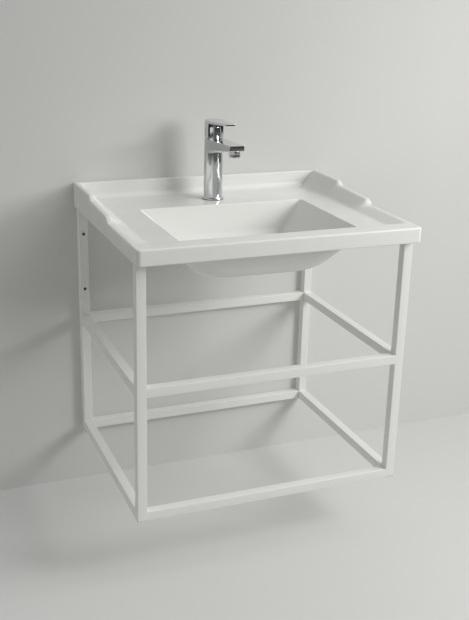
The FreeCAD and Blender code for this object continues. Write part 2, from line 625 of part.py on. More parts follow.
def lever():
    """Lever, the stem and pin that it works on, and the grub screw that holds it, behind a small cap."""
    s = STEM / 2
    grub_z = (BOSS_Z + PLATE_Z) / 2
    body = lever_plate().fuse(lever_skirt()).fuse(rod(BOSS_R, BOSS_Z, PLATE_Z, 0, TAP_Y)).removeSplitter()
    body = body.cut(block(-s, s, TAP_Y - s, TAP_Y + s, BOSS_Z - PAST, PLATE_Z))
    body = body.cut(Part.makeCylinder(GRUB_R, BOSS_R, V(0, TAP_Y + s, grub_z), Y))
    cap_place = V(0, TAP_Y + SKIRT_R, grub_z)
    cap_hole = Part.makeCylinder(CAP_R + RUNNING_FIT, 2 * SKIRT_WALL, cap_place - Y * SKIRT_WALL / 2, Y)
    export("lever", body.cut(cap_hole))
    stem = block(-s, s, TAP_Y - s, TAP_Y + s, PIVOT_Z - s, PLATE_Z)
    ends = edges_where(stem, lambda p: near(p.z, PIVOT_Z - s) and near(abs(p.y - TAP_Y), s))
    stem = stem.makeFillet(STEM_ROUND, ends)
    pin_half = YOKE_R - PIN_INSET
    pin = Part.makeCylinder(STEM_PIN_R, 2 * pin_half, V(-pin_half, TAP_Y, PIVOT_Z), X)
    export("lever_stem", stem.cut(pin))
    export("stem_pin", pin)
    export("lever_grub_screw", Part.makeCylinder(GRUB_R, BOSS_WALL - GRUB_SINK, V(0, TAP_Y + s, grub_z), Y))
    export("lever_cap", Part.makeCylinder(CAP_R, SKIRT_WALL - CAP_SINK, cap_place, Y))


def waste():
    """Waste: flanged body with a bridge, its seals and its back nut."""
    y = WASTE_Y
    flange_low = SEAT_Z + WASTE_SEAL
    flange_top = flange_low + WASTE_FLANGE
    tail_low = BOWL_UNDER_Z - TAIL_BELOW
    trap_r, trap_top = TAIL_R - TRAP_STEP, tail_low + TRAP_END
    bore = TAIL_R - TAIL_WALL
    body = turned([
        (bore, tail_low), (trap_r, tail_low), (trap_r, trap_top), (TAIL_R, trap_top), (TAIL_R, flange_low),
        (WASTE_FLANGE_R, flange_low), (WASTE_FLANGE_R, flange_low + WASTE_FLANGE / 2),
        (bore + WASTE_FLANGE, flange_top), (bore, flange_low),
    ], 0, y)
    bar_z = flange_low - BRIDGE_BELOW
    bar_top = bar_z + BRIDGE
    guide_hole = PLUG_STEM_R + RUNNING_FIT
    barrel = guide_hole + GUIDE_WALL
    bar = block(-TAIL_R, TAIL_R, y - BRIDGE_WIDTH / 2, y + BRIDGE_WIDTH / 2, bar_z, bar_top)
    bar = bar.common(rod(bore + TAIL_WALL / 2, bar_z, bar_top, 0, y))
    bar = bar.fuse(rod(barrel + HUB_WALL, bar_z, bar_top, 0, y))
    body = body.fuse(bar).removeSplitter()
    export("waste_body", body.cut(rod(barrel + RUNNING_FIT, bar_z - PAST, bar_top + PAST, 0, y)))
    export("waste_upper_seal", ring(WASTE_FLANGE_R - SEAT_MARGIN, WASTE_HOLE_R, SEAT_Z, flange_low, 0, y))
    seal_low, tail_hole = BOWL_UNDER_Z - LOWER_SEAL, TAIL_R + RUNNING_FIT
    export("waste_lower_seal", turned([
        (tail_hole, seal_low), (LOWER_SEAL_R, seal_low), (LOWER_SEAL_R, seal_low + LOWER_SEAL / 2),
        (WASTE_HOLE_R + SEAL_LAND, BOWL_UNDER_Z), (tail_hole, BOWL_UNDER_Z),
    ], 0, y))
    nut_low = seal_low - BACK_NUT
    nut = hexagon(2 * (tail_hole + BACK_NUT_WALL), nut_low, seal_low, 0, y)
    export("waste_back_nut", nut.cut(rod(tail_hole, nut_low - PAST, seal_low + PAST, 0, y)))
    guide_low = bar_z - GUIDE_BELOW
    export("plug_guide", turned([
        (guide_hole, guide_low), (barrel, guide_low), (barrel, bar_top), (barrel + GUIDE_FLANGE, bar_top),
        (barrel + GUIDE_FLANGE, bar_top + GUIDE_FLANGE), (guide_hole, bar_top + GUIDE_FLANGE),
    ], 0, y))
    waste_plug(flange_top + PLUG_SEAT_GAP, guide_low - PLUG_TRAVEL)


def waste_plug(seat, stem_low):
    """Plug: a bevelled disc with a low crown on a stem that slides in the guide."""
    edge_r = WASTE_FLANGE_R - SEAT_MARGIN
    rim_r, shoulder = edge_r - PLUG_BEVEL, seat + PLUG_THICK
    export("waste_plug", turned([
        (0, stem_low), (PLUG_STEM_R, stem_low), (PLUG_STEM_R, seat), (rim_r, seat),
        (edge_r, seat + PLUG_BEVEL), (edge_r, shoulder - PLUG_BEVEL), (rim_r, shoulder),
        (PLUG_FLAT_R, shoulder + PLUG_CROWN),
        (0, shoulder + PLUG_CROWN),
    ], 0, WASTE_Y))


os.makedirs("parts", exist_ok=True)
frame()
basin()
tap_body()
tap_fixings()
aerator()
cartridge()
lever()
waste()
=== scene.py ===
# %% [markdown]
# # A wall-hung washstand
# A glazed basin lies on an open frame of square steel tube that is screwed to a wall, and a chrome tap with
# one lever stands on its deck. The solid model is loaded first, as a fixed frame that tells where
# everything goes. Each visible piece is then worked out again as a smooth surface, because gloss shows
# every facet.

# %% Load the solid model
import math

import bmesh
import bpy
import numpy as np
from mathutils import Matrix, Vector


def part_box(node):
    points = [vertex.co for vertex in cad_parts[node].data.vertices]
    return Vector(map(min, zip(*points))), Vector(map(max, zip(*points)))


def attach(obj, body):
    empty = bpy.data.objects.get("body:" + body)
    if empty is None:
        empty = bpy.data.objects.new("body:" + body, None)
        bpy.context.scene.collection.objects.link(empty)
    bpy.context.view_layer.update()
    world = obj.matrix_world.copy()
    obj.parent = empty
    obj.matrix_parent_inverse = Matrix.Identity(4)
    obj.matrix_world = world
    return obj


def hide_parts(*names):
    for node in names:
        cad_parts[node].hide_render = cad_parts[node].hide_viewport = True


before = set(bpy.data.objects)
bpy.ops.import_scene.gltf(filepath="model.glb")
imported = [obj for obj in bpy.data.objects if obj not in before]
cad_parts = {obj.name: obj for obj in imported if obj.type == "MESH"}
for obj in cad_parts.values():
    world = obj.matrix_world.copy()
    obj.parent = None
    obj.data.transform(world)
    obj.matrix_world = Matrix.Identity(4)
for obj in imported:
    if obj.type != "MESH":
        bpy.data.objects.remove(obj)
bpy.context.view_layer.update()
MM = 0.001

# %% [markdown]
# ## From a grid of points to a piece
# Every piece below is a function of two parameters, sampled on a grid of rows and columns. A cell of the
# grid is a four-sided face. A direction may close on itself, like the hours on a clock face, and a row
# whose points all fall together makes a pole. Such doubled points are merged, so that the skin is closed
# and light can't leak in.

# %% Grid helpers
MERGE_WITHIN = 2e-6


def shown(name, data):
    """New object at the origin, linked to the scene."""
    obj = bpy.data.objects.new(name, data)
    bpy.context.scene.collection.objects.link(obj)
    return obj


def meshed(name, points, faces, material):
    """New mesh from points and faces, with one material."""
    mesh = bpy.data.meshes.new(name)
    mesh.from_pydata(points.reshape(-1, 3).tolist(), [], faces.tolist())
    mesh.materials.append(material)
    return mesh


def cells(rows, cols, close_rows, close_cols):
    """Numbers of the four corners of each cell, counted round where a direction closes."""
    i = np.arange(rows if close_rows else rows - 1)[:, None]
    j = np.arange(cols if close_cols else cols - 1)[None, :]
    below, right = (i + 1) % rows, (j + 1) % cols
    corners = [i * cols + j, i * cols + right, below * cols + right, below * cols + j]
    return np.stack(corners, -1).reshape(-1, 4)


def piece(name, grids, body, material, stands_for=(), sharp=38.0):
    """One mesh from grids of millimetre points, each (points, close_rows, close_cols), riding on a body.
    Edges that turn by more than sharp degrees stay crisp."""
    starts = np.cumsum([0] + [g[0].shape[0] * g[0].shape[1] for g in grids])
    points = np.concatenate([g[0].reshape(-1, 3) for g in grids]) * MM
    faces = np.concatenate([
        cells(*g[0].shape[:2], g[1], g[2]) + start for g, start in zip(grids, starts)
    ])
    mesh = meshed(name, points, faces, material)
    work = bmesh.new()
    work.from_mesh(mesh)
    bmesh.ops.remove_doubles(work, verts=work.verts, dist=MERGE_WITHIN)
    bmesh.ops.recalc_face_normals(work, faces=work.faces)
    work.to_mesh(mesh)
    work.free()
    mesh.shade_smooth()
    mesh.set_sharp_from_angle(angle=math.radians(sharp))
    obj = shown(name, mesh)
    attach(obj, body)
    if stands_for:
        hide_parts(*stands_for)
    print(f"{name}: {len(mesh.vertices)} points, {len(mesh.polygons)} faces")
    return obj


def eased(corners, steps=5, closed=False):
    """Polyline through corners (a, b, ease): each corner becomes a curve (1-t)^2 P + 2t(1-t) C + t^2 Q,
    where P and Q lie the ease before and after the corner C."""
    c = np.asarray(corners, float)
    at, ease = c[:, :2], c[:, 2:]
    before, after = np.roll(at, 1, 0) - at, np.roll(at, -1, 0) - at
    p = at + before / np.maximum(np.linalg.norm(before, axis=1, keepdims=True), 1e-9) * ease
    q = at + after / np.maximum(np.linalg.norm(after, axis=1, keepdims=True), 1e-9) * ease
    if not closed:
        p[[0, -1]], q[[0, -1]] = at[[0, -1]], at[[0, -1]]
    t = np.linspace(0, 1, steps)[None, :, None]
    curves = (1 - t) ** 2 * p[:, None] + 2 * t * (1 - t) * at[:, None] + t ** 2 * q[:, None]
    return curves.reshape(-1, 2)


def stacked(x, y, z):
    """Points from three coordinates, each spread to the shape of all."""
    return np.stack(np.broadcast_arrays(x, y, z), -1)


def turned(profile, y, around=112, groove=None):
    """Profile of (radius r, height z) turned about an upright line at y: (r cos a, y + r sin a, z), where
    groove(a, r, z) is first taken off the radius."""
    a = np.linspace(0, 2 * np.pi, around, endpoint=False)[:, None]
    r, z = profile[:, 0][None, :], profile[:, 1][None, :]
    if groove:
        r = r - groove(a, r, z)
    return stacked(r * np.cos(a), y + r * np.sin(a), z)


print("3 rows of 4 points, closed along the rows:", len(cells(3, 4, False, True)), "cells")

# %% [markdown]
# ## Finishes
# White glaze, white powder coat and chrome are all nearly one colour, so what tells them apart is how they
# bend and blur reflections. Glaze pools in long soft waves. Powder coat melts into small dimples, like
# orange skin. Chrome is a mirror that fingers and dried water dull in patches. A painted picture of all
# this would blur up close, so it comes from noise. Each effect is a group of nodes that is built once and
# then placed in a material with its own scale and strength. All of them read Object coordinates, which are
# metres on the piece, so a pattern keeps its real size everywhere.

# %% Shared groups of nodes
# a Mix node keeps its colour sockets at these places
MIX_A, MIX_B, MIX_OUT = 6, 7, 2
NUMBER, COLOUR = "NodeSocketFloat", "NodeSocketColor"
PATCH_FADE = (0.35, 0.68)


def new_group(name, inputs, outputs):
    """Empty shader group with named sockets, given as (name, type, start value)."""
    group = bpy.data.node_groups.new(name, "ShaderNodeTree")
    for label, kind, start in inputs:
        group.interface.new_socket(label, in_out="INPUT", socket_type=kind).default_value = start
    for label, kind in outputs:
        group.interface.new_socket(label, in_out="OUTPUT", socket_type=kind)
    return group, group.nodes.new("NodeGroupInput"), group.nodes.new("NodeGroupOutput")


def object_noise(group, scale, detail):
    """Noise on Object coordinates; scale is the socket that sets how many waves go into a metre."""
    place = group.nodes.new("ShaderNodeTexCoord")
    noise = group.nodes.new("ShaderNodeTexNoise")
    noise.inputs["Detail"].default_value = detail
    group.links.new(place.outputs["Object"], noise.inputs["Vector"])
    group.links.new(scale, noise.inputs["Scale"])
    return noise.outputs[0]


def soft_step(nodes, start, full):
    """Map Range node that passes smoothly from 0 to 1 between two values."""
    node = nodes.new("ShaderNodeMapRange")
    node.interpolation_type = "SMOOTHSTEP"
    node.inputs["From Min"].default_value, node.inputs["From Max"].default_value = start, full
    return node


def make_relief():
    """Height = coarse noise + fine noise * Fine Share: dimples or pooled waves for a Bump node."""
    group, given, out = new_group(
        "coat_relief",
        [("Waves per Metre", NUMBER, 60.0), ("Fine per Metre", NUMBER, 900.0), ("Fine Share", NUMBER, 0.3)],
        [("Height", NUMBER)],
    )
    coarse = object_noise(group, given.outputs["Waves per Metre"], 1.0)
    fine = object_noise(group, given.outputs["Fine per Metre"], 2.0)
    mix = group.nodes.new("ShaderNodeMath")
    mix.operation = "MULTIPLY_ADD"
    group.links.new(fine, mix.inputs[0])
    group.links.new(given.outputs["Fine Share"], mix.inputs[1])
    group.links.new(coarse, mix.inputs[2])
    group.links.new(mix.outputs[0], out.inputs["Height"])
    return group


def make_patches():
    """Value between Low and High that follows a soft noise, for patches of duller or brighter surface."""
    group, given, out = new_group(
        "soft_patches",
        [("Patches per Metre", NUMBER, 20.0), ("Low", NUMBER, 0.1), ("High", NUMBER, 0.2)],
        [("Value", NUMBER)],
    )
    noise = object_noise(group, given.outputs["Patches per Metre"], 4.0)
    patchy = soft_step(group.nodes, *PATCH_FADE)
    group.links.new(noise, patchy.inputs["Value"])
    group.links.new(given.outputs["Low"], patchy.inputs["To Min"])
    group.links.new(given.outputs["High"], patchy.inputs["To Max"])
    group.links.new(patchy.outputs["Result"], out.inputs["Value"])
    return group


def make_tone():
    """Color drifts between two near tones along a very soft noise."""
    group, given, out = new_group(
        "tone_drift",
        [("Tone A", COLOUR, (0.8, 0.8, 0.8, 1)), ("Tone B", COLOUR, (0.7, 0.7, 0.7, 1)),
         ("Drifts per Metre", NUMBER, 6.0)],
        [("Color", COLOUR)],
    )
    noise = object_noise(group, given.outputs["Drifts per Metre"], 3.0)
    mix = group.nodes.new("ShaderNodeMix")
    mix.data_type = "RGBA"
    group.links.new(noise, mix.inputs["Factor"])
    group.links.new(given.outputs["Tone A"], mix.inputs[MIX_A])
    group.links.new(given.outputs["Tone B"], mix.inputs[MIX_B])
    group.links.new(mix.outputs[MIX_OUT], out.inputs["Color"])
    return group


relief_group, patch_group, tone_group = make_relief(), make_patches(), make_tone()
print("groups", [g.name for g in (relief_group, patch_group, tone_group)])

# %% One way to mix a finish


def placed(nodes, group, values):
    """A group placed in a material with its own values."""
    node = nodes.new("ShaderNodeGroup")
    node.node_tree = group
    for label, value in values.items():
        node.inputs[label].default_value = value
    return node


def finish(name, tone_a, tone_b, drift, rough, relief, bump, plain=None):
    """Material: drifting tone, patchy roughness (low, high, patches per metre) and a relief (waves, fine,
    share) under a Bump of (strength, distance). Plain values go straight on the shader's own sockets."""
    material = bpy.data.materials.new(name)
    material.use_nodes = True
    nodes, links = material.node_tree.nodes, material.node_tree.links
    shader = nodes["Principled BSDF"]
    tone = placed(nodes, tone_group, {
        "Tone A": (*tone_a, 1), "Tone B": (*tone_b, 1), "Drifts per Metre": drift,
    })
    links.new(tone.outputs["Color"], shader.inputs["Base Color"])
    patches = placed(nodes, patch_group, {"Low": rough[0], "High": rough[1], "Patches per Metre": rough[2]})
    links.new(patches.outputs["Value"], shader.inputs["Roughness"])
    height = placed(nodes, relief_group, {
        "Waves per Metre": relief[0], "Fine per Metre": relief[1], "Fine Share": relief[2],
    })
    lift = nodes.new("ShaderNodeBump")
    lift.inputs["Strength"].default_value = bump[0]
    lift.inputs["Distance"].default_value = bump[1]
    links.new(height.outputs["Height"], lift.inputs["Height"])
    links.new(lift.outputs["Normal"], shader.inputs["Normal"])
    for label, value in (plain or {}).items():
        shader.inputs[label].default_value = value
    return material


glaze = finish(
    "white_glaze", (0.800, 0.806, 0.772), (0.780, 0.787, 0.752), 5.0, (0.19, 0.26, 14.0),
    (22.0, 140.0, 0.12), (0.12, 0.0012),
    {"IOR": 1.50, "Specular IOR Level": 0.35, "Coat Weight": 0.06, "Coat Roughness": 0.05},
)
powder = finish(
    "white_powder_coat", (0.792, 0.798, 0.764), (0.768, 0.775, 0.742), 9.0, (0.34, 0.46, 25.0),
    (420.0, 1300.0, 0.5), (0.22, 0.00025), {"IOR": 1.48},
)
chrome = finish(
    "polished_chrome", (0.74, 0.75, 0.76), (0.68, 0.69, 0.70), 30.0, (0.045, 0.13, 55.0),
    (70.0, 900.0, 0.10), (0.03, 0.0004), {"Metallic": 1.0},
)
plastic = finish(
    "pale_plastic", (0.62, 0.63, 0.61), (0.55, 0.56, 0.545), 30.0, (0.42, 0.56, 60.0),
    (300.0, 2400.0, 0.6), (0.25, 0.0002), {"IOR": 1.46},
)
rubber = finish(
    "black_rubber", (0.025, 0.025, 0.026), (0.045, 0.044, 0.043), 60.0, (0.62, 0.8, 80.0),
    (500.0, 3000.0, 0.7), (0.35, 0.0002),
)
steel = finish(
    "zinc_steel", (0.56, 0.565, 0.57), (0.44, 0.445, 0.45), 80.0, (0.28, 0.42, 120.0),
    (260.0, 2200.0, 0.5), (0.2, 0.0002), {"Metallic": 1.0},
)
brass = finish(
    "raw_brass", (0.66, 0.50, 0.24), (0.54, 0.39, 0.17), 70.0, (0.22, 0.36, 90.0),
    (260.0, 2000.0, 0.4), (0.15, 0.0002), {"Metallic": 1.0},
)
print("finishes", [m.name for m in (glaze, powder, chrome, plastic, rubber, steel, brass)])

# %% [markdown]
# ## The basin
# The basin is one casting of vitreous china, so it is one skin here too. Boxes joined together and then
# bevelled would give hard seams, and a sculpted block would lose the steps of the rims. Instead the skin is
# a stack of closed rings. They start at the waste hole, climb the bowl, cross the deck, go up the sloping
# sides to the rims, over the edge, down the outside and home again below, round the bowl's belly. Ring
# after ring is a rectangle with round corners, so one function makes them all, and a second function gives
# the height of any place on the deck and the rims.

# %% Main sizes of the basin, in millimetres
HALF, FRONT_Y = 300.0, -494.0
UNDER_Z, DECK_Z = 123.0, 144.5
LEDGE_RISE, BACK_RISE = 10.5, 35.5
print("deck at", DECK_Z, "ledge at", DECK_Z + LEDGE_RISE, "rims up to", DECK_Z + BACK_RISE)

# %% Line of the rims, seen from the side
STEP_HALF, TREAD_LEAN = 11.0, 3.5 / 116.0
# of each step: its middle, the heights in front and behind, the leans in front and behind
STEPS = ((-280.0, LEDGE_RISE, 22.0, 0.0, TREAD_LEAN), (-142.0, 25.5, BACK_RISE, TREAD_LEAN, 0.0))


def step_curve(middle, low, high, lean_low, lean_high):
    """One S-shaped step as points (y, height) of a cubic curve (1-t)^3 P + 3t(1-t)^2 A + 3t^2(1-t) B + t^3
    Q, whose two inner points A and B both lie over the step's middle."""
    t = np.linspace(0, 1, 81)[:, None]
    corners = np.array([
        (middle - STEP_HALF, low), (middle, low + lean_low * STEP_HALF),
        (middle, high - lean_high * STEP_HALF), (middle + STEP_HALF, high),
    ])
    share = np.hstack([(1 - t) ** 3, 3 * t * (1 - t) ** 2, 3 * t * t * (1 - t), t ** 3])
    return share @ corners


RIM_LINE = np.concatenate([
    [(FRONT_Y, LEDGE_RISE)], *(step_curve(*step) for step in STEPS), [(0.0, BACK_RISE)],
])


def rim_rise(y):
    """Rim over the deck: level, a step, a tread that climbs gently, a second step, level again."""
    return np.interp(y, RIM_LINE[:, 0], RIM_LINE[:, 1])


print("three treads", np.round(rim_rise(np.array([-400.0, -200.0, -60.0])), 2))

# %% Sloping sides
SLOPE_FOOT, SLOPE_CREST = 257.0, 288.5
FOOT_BLEND, CREST_BLEND = 6.0, 4.0
SIDE_FLOW = 42.0


def flow_rise(y):
    """Height that the sloping sides aim at: the rim's line averaged over y - F to y + F with weights 1 +
    cos(pi t), so that the slopes pass under the steps without a crease."""
    t = np.linspace(-1, 1, 41)
    weight = 1 + np.cos(np.pi * t)
    return sum(w * rim_rise(y + SIDE_FLOW * k) for w, k in zip(weight / weight.sum(), t))


def ramp(u, blend):
    """0 before a bend and u after it, joined by a parabola (u + T)^2 / 4T where |u| < T, the blend."""
    return np.clip(u + blend, 0, 2 * blend) ** 2 / (4 * blend) + np.maximum(u - blend, 0)


def side_rise(x, y):
    """Sloping side: a straight line from foot to crest, both rounded. The averaged height times the share c
    that is climbed, plus c^4 times what the rim's own height is more, so that the crest is the rim's."""
    run = SLOPE_CREST - SLOPE_FOOT
    u = np.abs(x) - SLOPE_FOOT
    climbed = (ramp(u, FOOT_BLEND) - ramp(u - run, CREST_BLEND)) / run
    flow = flow_rise(y)
    return flow * climbed + (rim_rise(y) - flow) * climbed ** 4


print("steepest slope", round(math.degrees(math.atan2(BACK_RISE, SLOPE_CREST - SLOPE_FOOT)), 1), "degrees")

# %% Front and back walls, and the height of any place
LEDGE_Y, LEDGE_COVE, LEDGE_LEAN, LEDGE_EASE = -448.0, 5.0, 0.4, 4.0
UPSTAND, BACK_COVE, BACK_LEAN, BACK_EASE = 11.0, 12.0, 0.8, 3.0
LEDGE_FOOT, BACK_FOOT = LEDGE_Y + LEDGE_COVE, -UPSTAND - BACK_COVE


def end_rise(away, cove, lean, ease, top):
    """Front and back walls, from how far a place is past the wall's foot: a hollow of radius cove, a wall
    that leans a little, a rounded edge of radius ease, then level."""
    foot = np.clip(away, 0, cove)
    hollow = cove - np.sqrt(np.maximum(cove ** 2 - foot ** 2, 0))
    wall = cove + (top - ease - cove) * (away - cove) / lean
    edge = top - ease + np.sqrt(np.maximum(ease ** 2 - (cove + lean + ease - away) ** 2, 0))
    return np.where(away <= cove, hollow, np.where(away <= cove + lean, wall, np.where(
        away < cove + lean + ease, edge, top)))


def deck_height(x, y):
    """Deck plus (side^4 + front^4 + back^4)^(1/4), which blends where two walls meet and leaves each alone
    elsewhere, and never more than the rim."""
    front = end_rise(LEDGE_FOOT - y, LEDGE_COVE, LEDGE_LEAN, LEDGE_EASE, LEDGE_RISE)
    back = end_rise(y - BACK_FOOT, BACK_COVE, BACK_LEAN, BACK_EASE, BACK_RISE)
    joined = (side_rise(x, y) ** 4 + front ** 4 + back ** 4) ** 0.25
    return DECK_Z + np.minimum(joined, rim_rise(y))


print("middle, ledge and upstand", np.round(deck_height(np.zeros(3), np.array([-300.0, -470.0, -4.0])), 2))

# %% [markdown]
# ### Rings that share their spokes
# Point 40 of one ring is joined to point 40 of the next, so all rings spread their points in the same way:
# so many along the front, so many round a corner, and so on. Along the sides they crowd together where the
# rims step down, because that is where the shape bends fast.

# %% Rounded rectangles


def crowded(*stretches):
    """Places from 0 to 1 in stretches of (end, steps), even within each."""
    starts = [0.0] + [end for end, _ in stretches]
    even = [np.linspace(start, end, steps, endpoint=False) for start, (end, steps) in zip(starts, stretches)]
    return np.concatenate([*even, [1.0]])


ALONG_FRONT = crowded((0.12, 30), (0.88, 60), (1.0, 30))
ALONG_SIDE = crowded((0.08, 14), (0.35, 20), (0.47, 30), (0.665, 14), (0.775, 30), (0.93, 14), (1.0, 12))
ROUND_CORNER = np.linspace(0, 1, 15)


def rings(half, y0, y1, r_front, r_back):
    """Rectangles |x| <= half, y0 <= y <= y1 with round corners, one for each value given: from the front
    left corner along the front, up the right side, along the back and down the left side."""
    given = np.broadcast_arrays(half, y0, y1, r_front, r_back, np.zeros(1))
    half, y0, y1, rf, rb = (v[:, None] for v in given[:5])
    front, corner, side = ALONG_FRONT[:-1], ROUND_CORNER[:-1] * np.pi / 2, ALONG_SIDE[:-1]
    side_down = 1 - ALONG_SIDE[::-1][:-1]
    s, c, span = np.sin(corner), np.cos(corner), y1 - rb - y0 - rf
    x = np.hstack([
        (half - rf) * (2 * front - 1), half - rf + rf * s, half + 0 * side, half - rb + rb * c,
        (half - rb) * (1 - 2 * front), -(half - rb + rb * s), -half + 0 * side, -(half - rf + rf * c),
    ])
    y = np.hstack([
        y0 + 0 * front, y0 + rf - rf * c, y0 + rf + span * side, y1 - rb + rb * s,
        y1 + 0 * front, y1 - rb + rb * c, y1 - rb - span * side_down, y0 + rf - rf * s,
    ])
    return x, y


def share_weights():
    """How much each point of a ring belongs to sides, front and back; a corner passes over with sin^2."""
    into = np.sin(ROUND_CORNER[:-1] * np.pi / 2) ** 2
    n, k, m = len(ALONG_FRONT) - 1, len(into), len(ALONG_SIDE) - 1
    half_way = [np.zeros(n), into, np.ones(m), 1 - into]
    side = np.concatenate(half_way + half_way)
    front = np.concatenate([np.ones(n), 1 - into, np.zeros(m + k + n + k + m), into])
    return side, front, 1 - side - front


SIDE_W, FRONT_W, BACK_W = share_weights()
print("points in a ring", len(SIDE_W))

# %% The bowl: waste hole, dish, floor, walls and lip
LIP_HALF, LIP_FRONT, LIP_BACK, LIP_R = 192.0, -433.0, -147.0, 3.0
SIDE_RUN, FRONT_RUN, BACK_RUN = 68.0, 44.0, 12.0
BOWL_DEPTH, FLOOR_R, CHINA = 80.0, 26.0, 11.0
CORNER_AT_FLOOR, CORNER_AT_LIP = 12.0, 5.0
FLOOR_Z = DECK_Z - BOWL_DEPTH
WASTE_Y, HOLE_R, SEAT_R, DISH_R, DISH_FALL = -240.0, 23.0, 33.0, 50.0, 4.0
# dish round the waste hole: radius, height over its own floor
DISH = np.array([
    (HOLE_R, DISH_FALL - CHINA), (HOLE_R, -0.6), (HOLE_R + 0.6, 0.0), (SEAT_R - 1, 0.0), (SEAT_R + 2, 0.3),
    (38.0, 1.2), (44.0, 2.6), (DISH_R - 2, 3.7), (DISH_R + 2, DISH_FALL),
])


def wall_profile(run, lip, floor, thick):
    """Way up one wall as (distance in from the lip, height): floor arc, straight wall, lip arc. An arc of
    radius r between lines that turn by b starts r tan(b/2) from their corner. A thickness moves the wall
    square to itself, by thick / sin(b) along the level and by thick * tan(b/2) at its foot."""
    turn = math.atan2(BOWL_DEPTH, run)
    half_tan = math.tan(turn / 2)
    base = run - thick * half_tan
    a = np.linspace(0, turn, 11)
    low = np.stack([
        base + (floor + thick) * (half_tan - np.sin(a)), FLOOR_Z - thick + (floor + thick) * (1 - np.cos(a)),
    ], -1)
    start = -thick / math.sin(turn)
    high = np.stack([
        start - lip * (half_tan - np.sin(a[::-1])), DECK_Z - lip * (1 - np.cos(a[::-1])),
    ], -1)
    t = np.linspace(0, 1, 9)[1:-1, None]
    return np.concatenate([low, low[-1] * (1 - t) + high[0] * t, high])


def bowl_rings(lip, thick, floor, flare, r_low, r_high):
    """Rings up the bowl: each side has its own way up, and a corner's height passes from one to the other.
    A flare sets the left and right walls further out at the top, and their foot stays."""
    runs = (SIDE_RUN + flare, FRONT_RUN, BACK_RUN)
    side, front, back = (wall_profile(run, lip, floor, thick) for run in runs)
    corner = np.linspace(r_low, r_high, len(side))
    x, y = rings(LIP_HALF + flare - side[:, 0], LIP_FRONT + front[:, 0], LIP_BACK - back[:, 0],
                 corner, corner)
    z = side[:, 1:] * SIDE_W + front[:, 1:] * FRONT_W + back[:, 1:] * BACK_W
    return stacked(x, y, z)


def spread(a, b, steps):
    """Rings between two rings, both left out: a + (b - a) t."""
    t = np.linspace(0, 1, steps + 2)[1:-1, None, None]
    return a + (b - a) * t


def waste_circles(radii, heights, like):
    """Circles round the waste whose points look along the same spokes as those of a given ring."""
    a = np.arctan2(like[:, 1] - WASTE_Y, like[:, 0])
    r, z = radii[:, None], heights[:, None]
    return stacked(r * np.cos(a), WASTE_Y + r * np.sin(a), z)


inside = bowl_rings(LIP_R, 0.0, FLOOR_R, 0.0, CORNER_AT_FLOOR, CORNER_AT_LIP)
dish = waste_circles(DISH[:, 0], FLOOR_Z - DISH_FALL + DISH[:, 1], inside[0])
bowl = np.concatenate([dish, spread(dish[-1], inside[0], 5), inside])
print("bowl floor at", FLOOR_Z, "with", len(bowl), "rings up to the lip")

# %% Deck, sloping sides, rims and the outer edge
FOOT_CORNER, BACK_FOOT_CORNER, TOP_CORNER = 9.0, 14.0, 3.0
EDGE_R, CORNER_R = 3.5, 9.0
# the edge that lies on the wall is nearly sharp, and passes into the rounded one over the last millimetres
WALL_EDGE, WALL_CORNER, WALL_FADE = 0.8, 0.3, 6.0


def deck_rings():
    """Level rings from the lip to the foot of the walls."""
    x, y = rings(SLOPE_FOOT - FOOT_BLEND, LEDGE_FOOT, BACK_FOOT, FOOT_CORNER, BACK_FOOT_CORNER)
    foot = stacked(x, y, DECK_Z)
    return np.concatenate([spread(bowl[-1], foot[0], 8), foot])


def wall_rings():
    """Rings up the walls: at the sides they crowd at the foot and at the crest, where the slope bends; at
    the front and back they climb the hollow in even angles and then go over the rounded edge."""
    climb, over = np.linspace(0, 1, 13)[1:], np.linspace(1, 0, 9)
    hollow, edge = np.sin(climb * np.pi / 2), 1 - np.sin(over * np.pi / 2)
    y0 = np.concatenate([LEDGE_FOOT - LEDGE_COVE * hollow,
                         LEDGE_FOOT - LEDGE_COVE - LEDGE_LEAN - LEDGE_EASE * edge])
    y1 = np.concatenate([BACK_FOOT + BACK_COVE * hollow,
                         BACK_FOOT + BACK_COVE + BACK_LEAN + BACK_EASE * edge])
    half = np.concatenate([
        SLOPE_FOOT + FOOT_BLEND * np.linspace(-1, 1, 9)[1:],
        np.linspace(SLOPE_FOOT + FOOT_BLEND, SLOPE_CREST - CREST_BLEND, 5)[1:],
        SLOPE_CREST + CREST_BLEND * np.linspace(-0.9, 1, len(over)),
    ])
    corners = [np.concatenate([r + (TOP_CORNER - r) * climb, np.full(len(over), TOP_CORNER)])
               for r in (FOOT_CORNER, BACK_FOOT_CORNER)]
    x, y = rings(half, y0, y1, *corners)
    return stacked(x, y, deck_height(x, y))


def edge_rings():
    """Outer edge, which turns over a quarter circle: out by e sin a and down by e (1 - cos a)."""
    a = np.linspace(0, np.pi / 2, 8)
    out, down = np.sin(a), 1 - np.cos(a)
    x, y = rings(HALF - EDGE_R + EDGE_R * out, FRONT_Y + EDGE_R - EDGE_R * out, -WALL_EDGE + WALL_EDGE * out,
                 CORNER_R - EDGE_R + EDGE_R * out, WALL_CORNER + WALL_EDGE * out)
    from_wall = np.clip(-(y + WALL_EDGE) / WALL_FADE, 0, 1)
    drop = np.where(y > -WALL_FADE, WALL_EDGE + (EDGE_R - WALL_EDGE) * from_wall, EDGE_R)
    z = DECK_Z + rim_rise(y) - drop * down[:, None]
    return stacked(x, y, z)


deck, walls, edge = deck_rings(), wall_rings(), edge_rings()
rim_top = spread(walls[-1], edge[0], 3)
rim_top[:, :, 2] = DECK_Z + rim_rise(rim_top[:, :, 1])
top = np.concatenate([deck, walls, rim_top, edge])
print("rings from the lip to the outer edge", len(top))

